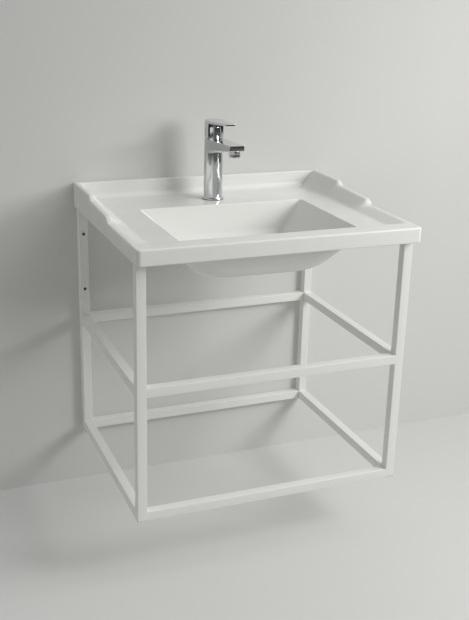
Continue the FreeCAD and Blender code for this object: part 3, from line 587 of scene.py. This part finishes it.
# %% Outside, underside and the skin closed
UNDER_R, WALL_DRAW = 2.5, 0.4
HOLLOW_HALF, HOLLOW_FRONT, HOLLOW_BACK, HOLLOW_CORNER = 268.0, -443.0, -27.0, 20.0
HOLLOW_EASE, HOLLOW_COVE, CEILING = 0.8, 3.0, DECK_Z - CHINA
BELLY, BELLY_FLARE, BELLY_R, BELLY_FRONT = 5.0, 9.0, 34.0, -438.5
BELLY_AT_FLOOR, BELLY_AT_TOP = 64.0, 38.0
# way up into the hollow that the basin has below: inset, height
HOLLOW_WAY = np.array([
    (-HOLLOW_EASE, UNDER_Z), (0, UNDER_Z + HOLLOW_EASE), (0, CEILING - HOLLOW_COVE), (HOLLOW_COVE, CEILING),
])
# flat seat below the waste hole: radius, share of the belly's thickness there
SEAT_BELOW = np.array([(46.0, 1.0), (42.0, 0.86), (38.0, 0.14), (37.0, 0.0)])


def underside():
    """Down the outside, round the lower edge, in by r (1 - cos a) and down to r (1 - sin a) above its foot,
    across the land that lies on the posts, up into the hollow and down the outside of the bowl, a fuller
    belly than the inside, to the flat seat round the waste hole."""
    a = np.linspace(0, np.pi / 2, 8)
    inward, above_foot = UNDER_R * (1 - np.cos(a)), UNDER_R * (1 - np.sin(a))
    x, y = rings(HALF - inward, FRONT_Y + inward, -WALL_DRAW * a, CORNER_R - inward, WALL_CORNER + WALL_EDGE)
    turn = stacked(x, y, UNDER_Z + above_foot[:, None])
    inset, z = HOLLOW_WAY.T
    corner = HOLLOW_CORNER - inset
    x, y = rings(HOLLOW_HALF - inset, HOLLOW_FRONT + inset, HOLLOW_BACK - inset, corner, corner)
    hollow = stacked(x, y, z[:, None])
    belly = bowl_rings(0.001, CHINA + BELLY, BELLY_R, BELLY_FLARE, BELLY_AT_FLOOR, BELLY_AT_TOP)[::-1]
    belly = belly[belly[:, :, 2].max(1) < CEILING]
    belly[:, :, 1] = np.maximum(belly[:, :, 1], BELLY_FRONT)
    brow = belly[:1].copy()
    brow[:, :, 2] = CEILING
    seat = waste_circles(SEAT_BELOW[:, 0], FLOOR_Z - CHINA - BELLY * SEAT_BELOW[:, 1], belly[-1])
    return np.concatenate([
        spread(edge[-1], turn[0], 3), turn, hollow, spread(hollow[-1], brow[0], 2), brow, belly,
        spread(belly[-1], seat[0], 2), seat,
    ])


skin = np.concatenate([bowl, top, underside()])
piece("basin_china", [(skin, True, True)], "stand", glaze, ["basin"], sharp=50.0)

# %% [markdown]
# ## The frame
# The frame is square steel tube, welded, ground flush and powder coated in one go, so no seam shows where a
# rail meets a post. A plain box would have razor edges that catch no light. Each bar is a square section
# with small round corners, carried along its length. A rail reaches into the post by one corner radius,
# which fills the notch that the post's round corner would leave. The rear posts keep their solids, because
# these have the real screw holes.

# %% Bars of square tube
TUBE_CORNER = 1.4
RAILS = [(level, place) for level in ("mid", "bottom") for place in ("front", "rear", "left", "right")]


def beam(low, high, axis, corner):
    """Rectangular section with round corners, carried along one axis between two corners of a box; both
    ends close to a point in the middle of the section."""
    across = [k for k in range(3) if k != axis]
    (a0, b0), (a1, b1) = low[across], high[across]
    section = eased([(a0, b0, corner), (a1, b0, corner), (a1, b1, corner), (a0, b1, corner)], 7, closed=True)
    shrink = np.array([0.0, 1.0, 1.0, 0.0])[:, None, None]
    middle = np.array([(a0 + a1) / 2, (b0 + b1) / 2])
    points = np.empty((4, len(section), 3))
    points[:, :, axis] = np.array([low[axis], low[axis], high[axis], high[axis]])[:, None]
    points[:, :, across] = middle + (section - middle) * shrink
    return points


def bar(node, reach):
    """Beam in the place of a node of the frame, along its longest side and longer by reach at each end."""
    low, high = (np.array(v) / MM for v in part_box(node))
    axis = int(np.argmax(high - low))
    low[axis], high[axis] = low[axis] - reach, high[axis] + reach
    return beam(low, high, axis, TUBE_CORNER)


bars = [(f"{level}_rail_{place}", TUBE_CORNER) for level, place in RAILS]
bars += [(f"post_front_{place}", 0.0) for place in ("left", "right")]
for node, reach in bars:
    piece(f"{node}_bar", [(bar(node, reach), False, True)], "stand", powder, [node])

# %% [markdown]
# ### Weld fillets
# Where the top or the underside of a rail meets a post there is an inside corner, and the weld fills it
# with a small hollow fillet. A bevel on the joined tubes could give that, but the tubes would have to
# become one mesh. The lowest rails lie flush with the ends of the posts, so only their tops have such
# corners. One fillet is worked out as an array and set down at all twenty-four places.

# %% Fillets at the inside corners
WELD_LEG, WELD_HALF, WELD_BURIED = 2.2, 8.5, 0.3
RIPPLE, RIPPLES = 0.07, 9


def weld_fillets():
    """Fillet along a seam: its face runs from one leg to the other along a hollow arc, the legs ripple by a
    small share and draw in at both ends of the seam, and its back lies buried in the corner."""
    s = np.linspace(-WELD_HALF, WELD_HALF, 46)
    taper = np.sqrt(np.clip(1 - (s / WELD_HALF) ** 6, 0, 1))
    a = np.linspace(0, np.pi / 2, 7)
    leg = (WELD_LEG * taper * (1 + RIPPLE * np.cos(s * RIPPLES)))[:, None]
    back = np.full((len(s), 1), -WELD_BURIED)
    along_rail, off_rail = np.hstack([leg * (1 - np.sin(a)), back]), np.hstack([leg * (1 - np.cos(a)), back])
    grids = []
    for level, place in RAILS:
        low, high = (np.array(v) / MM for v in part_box(f"{level}_rail_{place}"))
        axis = 0 if place in ("front", "rear") else 1
        seam = 1 - axis
        middle = (low + high) / 2
        faces = 2 if level == "mid" else 1
        for end, inward in ((low, 1), (high, -1)):
            for face, up in ((high, 1), (low, -1))[:faces]:
                p = np.empty(along_rail.shape + (3,))
                p[..., axis] = end[axis] + inward * along_rail
                p[..., seam] = middle[seam] + s[:, None]
                p[..., 2] = face[2] + up * off_rail
                grids.append((p, False, True))
    return grids


piece("weld_fillets", weld_fillets(), "stand", powder)

# %% [markdown]
# ## The tap
# The tap is cast brass, ground, polished and plated. Its column, rings and shroud are turned shapes: a
# profile drawn once and carried round the axis. The spout and the lever's blade are slabs that taper in
# plan and in side view. A scaled cube with a bevel would pinch where it tapers, so they come from an
# outline and two height functions, with the edges eased as polishing leaves them.

# %% Slabs with eased edges
TAP_Y, TAP_FOOT, TAP_TOP, TAP_R = -86.0, 146.0, 281.5, 21.2
SPINE_SHORT, TIP_CORNER, TIP_EASE = 8.0, 3.0, 2.9


def outline(path):
    """Outline: its right half, which starts and ends on the middle line, and the mirror image."""
    return np.concatenate([path, path[-2:0:-1] * [-1, 1]])


def round_tip(half, tip, flat, points):
    """Tip of an outline: its round corner, then the front edge from x = flat to the middle line."""
    corner = eased([(half, tip + TIP_CORNER, 0), (half, tip, TIP_EASE), (flat, tip, 0)], steps=7)[7:14]
    return np.concatenate([corner, np.linspace(1, 0, points)[:, None] * [[flat, 0]] + [[0, tip]]])


def slab(edge_line, low, high, ease_low, ease_high):
    """Closed slab: outline o, moved in by e (1 - sin a) and up or down by e (1 - cos a) at its two edges.
    Its faces close by drawing the edge in to a spine on the middle line, which ends short of the slab;
    low(y) and high(y) are its heights."""
    run = np.roll(edge_line, -1, 0) - np.roll(edge_line, 1, 0)
    out = np.stack([run[:, 1], -run[:, 0]], -1)
    out /= np.linalg.norm(out, axis=1, keepdims=True)
    out *= np.where(((edge_line - edge_line.mean(0)) * out).sum(1).mean() > 0, 1, -1)
    spine = edge_line * [0, 1]
    front, rear = edge_line[:, 1].min(), edge_line[:, 1].max()
    spine[:, 1] = np.clip(spine[:, 1], front + SPINE_SHORT, rear - SPINE_SHORT)
    a = np.linspace(0, np.pi / 2, 7)
    draw = np.linspace(0, 1, 6)[:-1, None, None]

    def face(height, ease, sign):
        rim = edge_line - out * (ease * (1 - np.sin(a)))[:, None, None]
        xy = np.concatenate([spine + (rim[0] - spine) * draw, rim])
        lift = np.concatenate([np.zeros(len(draw)), ease * (1 - np.cos(a))])[:, None]
        return np.concatenate([xy, (height(xy[..., 1]) + sign * lift)[..., None]], -1)

    return np.concatenate([face(low, ease_low, 1), face(high, ease_high, -1)[::-1]])


def climb_line(start, end, z, climb):
    """Height as a function of y: z up to the start, then a straight climb to the end."""
    return lambda y: z + climb * np.clip((start - y) / (start - end), 0, 1)


print("tap from", TAP_FOOT, "to", TAP_TOP, "at y", TAP_Y)

# %% Column, spout and foot ring
SPOUT_END, SPOUT_ROOT, SPOUT_START = TAP_Y - 139.0, TAP_Y - TAP_R, TAP_Y - 4.0
SPOUT_SINK, SPOUT_CLIMB = 0.1, 5.1
SPOUT_DEPTH, UNDER_CLIMB, SPOUT_COVE = 24.0, 16.7, 6.8
SPOUT_HALF, SPOUT_END_HALF, SPOUT_END_FLAT = 20.1, 17.5, 13.5
FOOT_RING_R, FOOT_RING_TOP = 25.2, 150.0
spout_top = climb_line(SPOUT_ROOT, SPOUT_END, TAP_TOP - SPOUT_SINK, SPOUT_CLIMB)
spout_low = climb_line(SPOUT_ROOT, SPOUT_END, TAP_TOP - SPOUT_DEPTH, UNDER_CLIMB)


def spout_under(y):
    """Straight climb to the end; near the column a hollow arc leads down into it."""
    u = np.clip(1 - (SPOUT_ROOT - y) / SPOUT_COVE, 0, 1)
    return spout_low(y) - SPOUT_COVE * (1 - np.sqrt(1 - u * u))


def spout_outline():
    """Nearly parallel sides, 40 mm apart at the column and 35 mm at the end, with small round corners."""
    side = np.linspace(0, 1, 40)[:, None] ** 1.6
    start, end = np.array([SPOUT_HALF, SPOUT_START]), np.array([SPOUT_END_HALF, SPOUT_END + TIP_CORNER])
    root = np.linspace(0, 1, 5)[:-1, None] * [[SPOUT_HALF, 0]] + [[0, SPOUT_START]]
    tip = round_tip(SPOUT_END_HALF, SPOUT_END, SPOUT_END_FLAT, 6)
    return outline(np.concatenate([root, start + (end - start) * side, tip]))


foot, head = np.split(eased([
    (0, TAP_FOOT, 0), (TAP_R, TAP_FOOT, 0.2), (TAP_R, TAP_TOP, 0.9), (0, TAP_TOP, 0),
], steps=7), 2)
column = np.concatenate([foot, np.linspace([TAP_R, TAP_FOOT + 1], [TAP_R, TAP_TOP - 1], 12), head])
spout = slab(spout_outline(), spout_under, spout_top, ease_low=2.2, ease_high=0.7)
piece("tap_column_and_spout", [(turned(column, TAP_Y), True, False), (spout, False, True)],
      "stand", chrome, ["tap_body"], sharp=32.0)
foot_ring = eased([
    (TAP_R - 0.5, TAP_FOOT, 0), (FOOT_RING_R, TAP_FOOT, 0.3), (FOOT_RING_R, FOOT_RING_TOP - 1.6, 1.6),
    (22.9, FOOT_RING_TOP, 1.2), (TAP_R - 0.5, FOOT_RING_TOP, 0),
], steps=6)
piece("tap_foot_ring", [(turned(foot_ring, TAP_Y), True, True)], "stand", chrome, ["tap_base_ring"])

# %% [markdown]
# ### The outlet
# A short housing under the spout's end holds the aerator. Its lower half is knurled, so that fingers can
# unscrew it. Knurls cut with booleans would leave long thin faces that shade badly on chrome. Here they are
# a wave that is taken off the radius of a turned profile, and the thread of the waste further down is the
# same wave, climbing.

# %% Outlet under the spout
OUTLET_Y, OUTLET_R, OUTLET_BORE = SPOUT_END + 13.0, 12.0, 7.7


def ribs(low, high, outside, depth, count, per_mm):
    """Groove in the outer wall between two heights: depth (1 + cos(n a + 2 pi z k)) / 2. With no turns per
    millimetre the ribs stand upright; a single rib that turns as it climbs is a thread."""
    def groove(a, r, z):
        wave = depth * (1 + np.cos(count * a + 2 * np.pi * per_mm * z)) / 2
        return np.where((z > low) & (z < high) & (r > outside - 0.1), wave, 0)

    return groove


housing = eased([
    (OUTLET_BORE, 275.4, 0), (OUTLET_BORE, 261.4, 0.3), (8.6, 259.9, 0.3), (11.4, 259.9, 0.5),
    (OUTLET_R, 261.0, 0.5), (OUTLET_R, 262.0, 0.2), (OUTLET_R, 267.0, 0.2), (OUTLET_R, 274.0, 0.4),
    (OUTLET_BORE, 275.4, 0),
])
knurl = ribs(261.8, 267.2, OUTLET_R, depth=0.35, count=36, per_mm=0.0)
piece("outlet_housing", [(turned(housing, OUTLET_Y, 216, knurl), True, True)],
      "stand", chrome, ["aerator_housing"])

# %% [markdown]
# ### The lever
# The lever is a shell: a round plate over the column, a skirt that hangs from it round the back and the
# sides, and a thin blade that climbs forward over the spout. Its skirt is open at the front, where the
# darker shroud of the valve shows. The skirt's foot climbs towards the back, so that the lever can lift
# without striking the column. Plate and blade are one slab and the skirt is a section carried round the
# axis, which keeps the reflections of each one clean.

# %% Outline and heights of the lever
PLATE_LOW, PLATE_TOP = 314.5, 321.5
KNEE, BLADE_TIP, BLADE_HALF, BLADE_FLAT = TAP_Y - 11.0, TAP_Y - 100.0, 11.0, 7.5
BLADE_CLIMB, BLADE_UNDER_CLIMB = 5.0, 7.5
ARC_PAST = 0.07
# 7 mm thick at the plate and 4.5 mm at the tip
blade_top = climb_line(KNEE, BLADE_TIP, PLATE_TOP, BLADE_CLIMB)
blade_under = climb_line(KNEE, BLADE_TIP, PLATE_LOW, BLADE_UNDER_CLIMB)


def lever_outline():
    """Half circle behind, then sides that draw in from 42 mm to 22 mm, then a tip with round corners."""
    a = np.linspace(np.pi / 2, -ARC_PAST, 40)
    arc = np.stack([TAP_R * np.cos(a), TAP_Y + TAP_R * np.sin(a)], -1)
    side = np.linspace(0, 1, 36)[1:, None]
    end = np.array([BLADE_HALF, BLADE_TIP + TIP_CORNER])
    tip = round_tip(BLADE_HALF, BLADE_TIP, BLADE_FLAT, 5)
    return outline(np.concatenate([arc, arc[-1] + (end - arc[-1]) * side, tip]))


blade = slab(lever_outline(), blade_under, blade_top, ease_low=0.3, ease_high=1.3)
print("blade", blade.shape[:2], "points, tip at", np.round(blade[..., 2].max(), 2))

# %% Skirt, shroud and the whole lever
SKIRT_OPEN, LIFT = math.radians(58.0), math.radians(22.0)
SKIRT_FOOT, SKIRT_INSIDE, SKIRT_MIDDLE, SKIRT_BURIED = TAP_TOP + 1.2, 19.7, 20.4, 0.3
SHROUD_R, SHROUD_TOP = 17.0, 307.5


def skirt():
    """Section 1.5 mm thick carried round the back from one side of the opening to the other; its foot is
    level in front of the axis and climbs by the tangent of the lift behind it. Both ends close to the
    middle of the section."""
    a = np.linspace(SKIRT_OPEN, 2 * np.pi - SKIRT_OPEN, 121) - np.pi / 2
    section = eased([
        (SKIRT_INSIDE, 0, 0.4), (TAP_R, 0, 0.4), (TAP_R, 1, 0.0), (SKIRT_INSIDE, 1, 0.0),
    ], closed=True)
    around, end = np.ones((len(a), 1)), np.ones((1, len(section)))
    r = np.vstack([SKIRT_MIDDLE * end, around * section[:, 0], SKIRT_MIDDLE * end])
    up = np.vstack([0.5 * end, around * section[:, 1], 0.5 * end])
    a = np.concatenate([a[:1], a, a[-1:]])[:, None]
    x, y = r * np.cos(a), TAP_Y + r * np.sin(a)
    low = SKIRT_FOOT + math.tan(LIFT) * np.maximum(y - TAP_Y, 0)
    return stacked(x, y, low + up * (PLATE_LOW + SKIRT_BURIED - low))


shroud = eased([
    (15.0, TAP_TOP, 0), (SHROUD_R, TAP_TOP, 0.1), (SHROUD_R, SHROUD_TOP, 1.4), (14.2, SHROUD_TOP, 0.4),
    (14.2, SHROUD_TOP - 2, 0), (15.0, SHROUD_TOP - 2, 0),
], steps=6)
piece("valve_shroud", [(turned(shroud, TAP_Y), True, True)], "stand", chrome, ["tap_shroud"])
boss = eased([(0, 310.0, 0), (6.7, 310.0, 0.6), (6.7, PLATE_LOW + 1, 0), (0, PLATE_LOW + 1, 0)])
piece("lever_shell", [(blade, False, True), (skirt(), False, True), (turned(boss, TAP_Y), True, False)],
      "lever", chrome, ["lever"], sharp=32.0)

# %% [markdown]
# ## The waste
# The waste clamps the bowl between a flange above and a nut below. A domed plug sits over the flange and is
# pressed to open or shut. From above only the plug and a thin ring of the flange show. From below the tail,
# the seal and the nut can be seen. Plain cylinders would look like toys from there, so tail and seal are
# turned profiles too, and the tail has its thread.

# %% Flange, tail and bridge
TAIL_BORE, TAIL_R, TAIL_LOW = 18.7, 20.4, 11.5
THREAD_R, THREAD_LOW, THREAD_PITCH, FLANGE_R, FLANGE_LOW = 20.9, 36.9, 1.8, 32.0, 62.0
HUB_LOW, HUB_TOP, BRIDGE_HALF = 46.0, 50.0, 2.5
tail = eased([
    (TAIL_BORE, TAIL_LOW, 0.2), (TAIL_R, TAIL_LOW, 0.4), (TAIL_R, 36.5, 0.2), (THREAD_R, THREAD_LOW, 0.2),
    (THREAD_R, FLANGE_LOW, 0.2), (FLANGE_R, FLANGE_LOW, 0.3), (FLANGE_R, 63.2, 0.5), (21.2, 64.5, 1.0),
    (TAIL_BORE, 62.5, 0.8),
], closed=True)
# the thread needs many points, set in after the four corners below it
below, above = np.split(tail, [20])
tail = np.concatenate([below, np.linspace([THREAD_R, 37.3], [THREAD_R, 61.5], 146), above])
thread = ribs(37.5, 61.3, THREAD_R, depth=0.4, count=1, per_mm=1 / THREAD_PITCH)
hub = eased([(5.1, HUB_LOW, 0), (7.5, HUB_LOW, 0.5), (7.5, HUB_TOP, 0.5), (5.1, HUB_TOP, 0)], closed=True)
bridge = [
    beam(np.array([x0, WASTE_Y - BRIDGE_HALF, HUB_LOW]), np.array([x1, WASTE_Y + BRIDGE_HALF, HUB_TOP]),
         axis=0, corner=0.6)
    for x0, x1 in ((-19.8, -6.3), (6.3, 19.8))
]
piece(
    "waste_flange_and_tail",
    [(turned(tail, WASTE_Y, 96, thread), True, True), (turned(hub, WASTE_Y, 48), True, True),
     *((arm, False, True) for arm in bridge)],
    "stand", chrome, ["waste_body"],
)

# %% Seal and plug
SEAL_R, SEAL_BORE, PLUG_R, STEM_R = 30.0, 20.95, 31.0, 3.5
seal = eased([
    (SEAL_BORE, 47.5, 0.2), (SEAL_R, 47.5, 0.8), (SEAL_R, 50.5, 0.8), (25.0, 53.5, 0.3),
    (SEAL_BORE, 53.5, 0.2),
], closed=True)
piece("waste_cone_seal", [(turned(seal, WASTE_Y), True, True)],
      "stand", rubber, ["waste_lower_seal"])
plug = eased([
    (0, 64.9, 0), (30.2, 64.9, 0.5), (PLUG_R, 66.0, 0.8), (PLUG_R, 67.8, 0.9), (29.6, 69.0, 1.2),
    (16.0, 70.7, 9.0), (0, 70.8, 0),
], steps=9)
stem = eased([(0, 31.0, 0), (STEM_R, 31.0, 0.5), (STEM_R, 65.5, 0), (0, 65.5, 0)])
piece("plug_cap_and_stem", [(turned(plug, WASTE_Y), True, False), (turned(stem, WASTE_Y, 48), True, False)],
      "plug", chrome, ["waste_plug"])

# %% [markdown]
# ## Small solids that stay
# The solids that are nearly hidden, and the rear posts, keep their shapes from the model and only get a
# finish.

# %% Finishes for the remaining solids
kept = {
    powder: ["post_rear_left", "post_rear_right"],
    plastic: ["post_foot_plugs", "post_head_plugs", "aerator_insert", "plug_guide", "lever_cap", "cartridge",
              "lever_yoke"],
    rubber: ["basin_pads", "tap_base_gasket", "tap_rubber_washer", "waste_upper_seal"],
    steel: ["tap_stud", "tap_steel_washer", "stem_pin", "lever_grub_screw", "lever_stem"],
    brass: ["tap_stud_nut", "cartridge_nut", "waste_back_nut"],
}
for material, names in kept.items():
    for node in names:
        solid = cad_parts[node]
        solid.data.materials.clear()
        solid.data.materials.append(material)
print("solids that stay", sum(len(names) for names in kept.values()))

# %% [markdown]
# ## Stage, light and camera
# A plain pale wall stands behind and a pale floor lies well below, because the frame hangs free. Far off,
# the floor is painted dark as shade, standing in for a dim room for chrome to mirror. One soft lamp at the
# front right gives the fronts their light and draws the shadows, and a sky that is bright high on the right
# lights the tops and leaves the left sides greyer. So that the back can be looked at too, the wall is
# see-through from behind and lets light pass, and the sky behind it is as bright as the wall would look.

# %% Wall and floor
FLOOR_AT, WALL_AT = -0.56, 0.0015
# painted shade on the floor: its colour fades to dark grey between these distances in metres
FAR_SHADE_FADE, FAR_FLOOR_SHADE = (1.3, 2.6), (0.12, 0.12, 0.12, 1)
SHEET_POINTS = 9


def matt(name, colour):
    """Matt pale surface with a faint drift of tone."""
    duller = tuple(0.97 * c for c in colour)
    return finish(name, colour, duller, 1.5, (0.75, 0.85, 4.0), (30.0, 300.0, 0.3), (0.05, 0.0005))


def clear_from_behind(material):
    """Makes a surface see-through where its back is seen."""
    nodes, links = material.node_tree.nodes, material.node_tree.links
    clear, mix = nodes.new("ShaderNodeBsdfTransparent"), nodes.new("ShaderNodeMixShader")
    side = nodes.new("ShaderNodeNewGeometry")
    links.new(side.outputs["Backfacing"], mix.inputs[0])
    links.new(nodes["Principled BSDF"].outputs[0], mix.inputs[1])
    links.new(clear.outputs[0], mix.inputs[2])
    links.new(mix.outputs[0], nodes["Material Output"].inputs["Surface"])
    return material


def paint_far_floor_shade(material):
    """Paints shade on a floor away from its middle: its colour darkens to a dark grey that stands in for a
    dim room far off, so that chrome has something dark to mirror.
    """
    nodes, links = material.node_tree.nodes, material.node_tree.links
    place, away = nodes.new("ShaderNodeTexCoord"), nodes.new("ShaderNodeVectorMath")
    fall, mix = soft_step(nodes, *FAR_SHADE_FADE), nodes.new("ShaderNodeMix")
    away.operation, mix.data_type = "LENGTH", "RGBA"
    mix.inputs[MIX_B].default_value = FAR_FLOOR_SHADE
    base_colour = nodes["Principled BSDF"].inputs["Base Color"]
    links.new(place.outputs["Object"], away.inputs[0])
    links.new(away.outputs["Value"], fall.inputs["Value"])
    links.new(fall.outputs["Result"], mix.inputs["Factor"])
    links.new(base_colour.links[0].from_socket, mix.inputs[MIX_A])
    links.new(mix.outputs[MIX_OUT], base_colour)
    return material


def stage_sheet(name, corner, u, v, material):
    """Flat sheet corner + s u + t v on a small grid."""
    steps = np.linspace(0, 1, SHEET_POINTS)
    t, s = np.meshgrid(steps, steps, indexing="ij")
    points = np.array(corner) + s[..., None] * np.array(u) + t[..., None] * np.array(v)
    faces = cells(SHEET_POINTS, SHEET_POINTS, False, False)
    obj = shown(name, meshed(name, points, faces, material))
    return obj


# the floor's far parts get painted shade, a dark grey standing in for a dim room
floor = stage_sheet("stage_floor", (-5, -5, FLOOR_AT), (10, 0, 0), (0, 10, 0),
                    paint_far_floor_shade(matt("pale_floor", (0.66, 0.665, 0.64))))
wall = stage_sheet("stage_wall", (-5, WALL_AT, FLOOR_AT), (10, 0, 0), (0, 0, 6),
                   clear_from_behind(matt("pale_wall", (0.67, 0.675, 0.65))))
wall.visible_diffuse = wall.visible_shadow = False
print("stage", floor.name, wall.name)

# %% Lamp and sky
LAMP_AT, LAMP_TARGET, LAMP_SIZE, LAMP_WATTS = (1.17, -1.34, 0.68), (0.0, -0.25, 0.1), 0.64, 15.2
SKY_BASE = 0.06
# a band of the sky: its strength and its ramps, each an axis with the values where it starts and is full
IN_FRONT, BEHIND = ("Y", 0.05, -0.05), ("Y", -0.05, 0.05)
SKY_BANDS = (
    (0.15, [IN_FRONT, ("Z", -0.1, 0.75)]),
    (0.74, [IN_FRONT, ("X", -0.1, -0.9), ("Z", 0.65, 0.1)]),
    (2.75, [IN_FRONT, ("X", 0.0, 0.7), ("Z", 0.2, 0.7)]),
    (0.42, [BEHIND]),
)


def sky():
    """Dim grey sky with soft bands added. In front they are the zenith, a pale glow low on the left, as
    from another wall, and a wide bright field high on the right, as from a window. Behind, an even grey
    stands for the light that the wall throws back. A band is its strength times smooth ramps of the
    direction's x, y and z."""
    world = bpy.data.worlds.new("studio_sky")
    world.use_nodes = True
    bpy.context.scene.world = world
    nodes, links = world.node_tree.nodes, world.node_tree.links
    way, split = nodes.new("ShaderNodeTexCoord"), nodes.new("ShaderNodeSeparateXYZ")
    links.new(way.outputs["Generated"], split.inputs[0])

    def fade(axis, start, full):
        node = soft_step(nodes, start, full)
        links.new(split.outputs[axis], node.inputs["Value"])
        return node.outputs["Result"]

    def sums(operation, *given):
        node = nodes.new("ShaderNodeMath")
        node.operation = operation
        for socket, value in zip(node.inputs, given):
            if isinstance(value, float):
                socket.default_value = value
            else:
                links.new(value, socket)
        return node.outputs[0]

    light = SKY_BASE
    for strength, ramps in SKY_BANDS:
        band = strength
        for given in ramps:
            band = sums("MULTIPLY", band, fade(*given))
        light = sums("ADD", light, band)
    links.new(light, nodes["Background"].inputs["Color"])


lamp = bpy.data.lights.new("key_softbox", "AREA")
lamp.shape, lamp.size, lamp.energy = "SQUARE", LAMP_SIZE, LAMP_WATTS
softbox = shown("key_softbox", lamp)
softbox.location, softbox.rotation_mode = LAMP_AT, "QUATERNION"
softbox.rotation_quaternion = (Vector(LAMP_TARGET) - Vector(LAMP_AT)).to_track_quat("-Z", "Y")
sky()
bpy.context.scene.view_settings.view_transform = "Standard"
print("one lamp of", LAMP_WATTS, "W and a sky of", len(SKY_BANDS), "bands")

# %% [markdown]
# ### Camera
# The camera could be turned by hand until the picture looks right. It was found instead by matching the
# straight edges of frame and basin with the picture: about 2.4 m away, 22 degrees to the left and 19
# degrees above.

# %% Camera
CAMERA_AT = (-0.7785, -2.1352, 0.6385)
YAW, PITCH, ROLL = math.radians(22.26), math.radians(19.17), math.radians(1.48)
FOCAL_PIXELS, PICTURE_HEIGHT, SENSOR = 981.6, 620.0, 36.0


def camera_axes(yaw, pitch, roll):
    """Right, up and ahead of a camera that turns by yaw from +Y to +X, tilts down by pitch and rolls."""
    ahead = np.array([math.sin(yaw) * math.cos(pitch), math.cos(yaw) * math.cos(pitch), -math.sin(pitch)])
    right = np.array([math.cos(yaw), -math.sin(yaw), 0.0])
    up = np.cross(right, ahead)
    return math.cos(roll) * right + math.sin(roll) * up, math.cos(roll) * up - math.sin(roll) * right, ahead


right, up, ahead = camera_axes(YAW, PITCH, ROLL)
camera_data = bpy.data.cameras.new("camera")
camera_data.lens = FOCAL_PIXELS * SENSOR / PICTURE_HEIGHT
camera = shown("camera", camera_data)
camera.matrix_world = Matrix([*np.column_stack([right, up, -ahead, CAMERA_AT]).tolist(), (0, 0, 0, 1)])
bpy.context.scene.camera = camera
print("lens", round(camera_data.lens, 2))
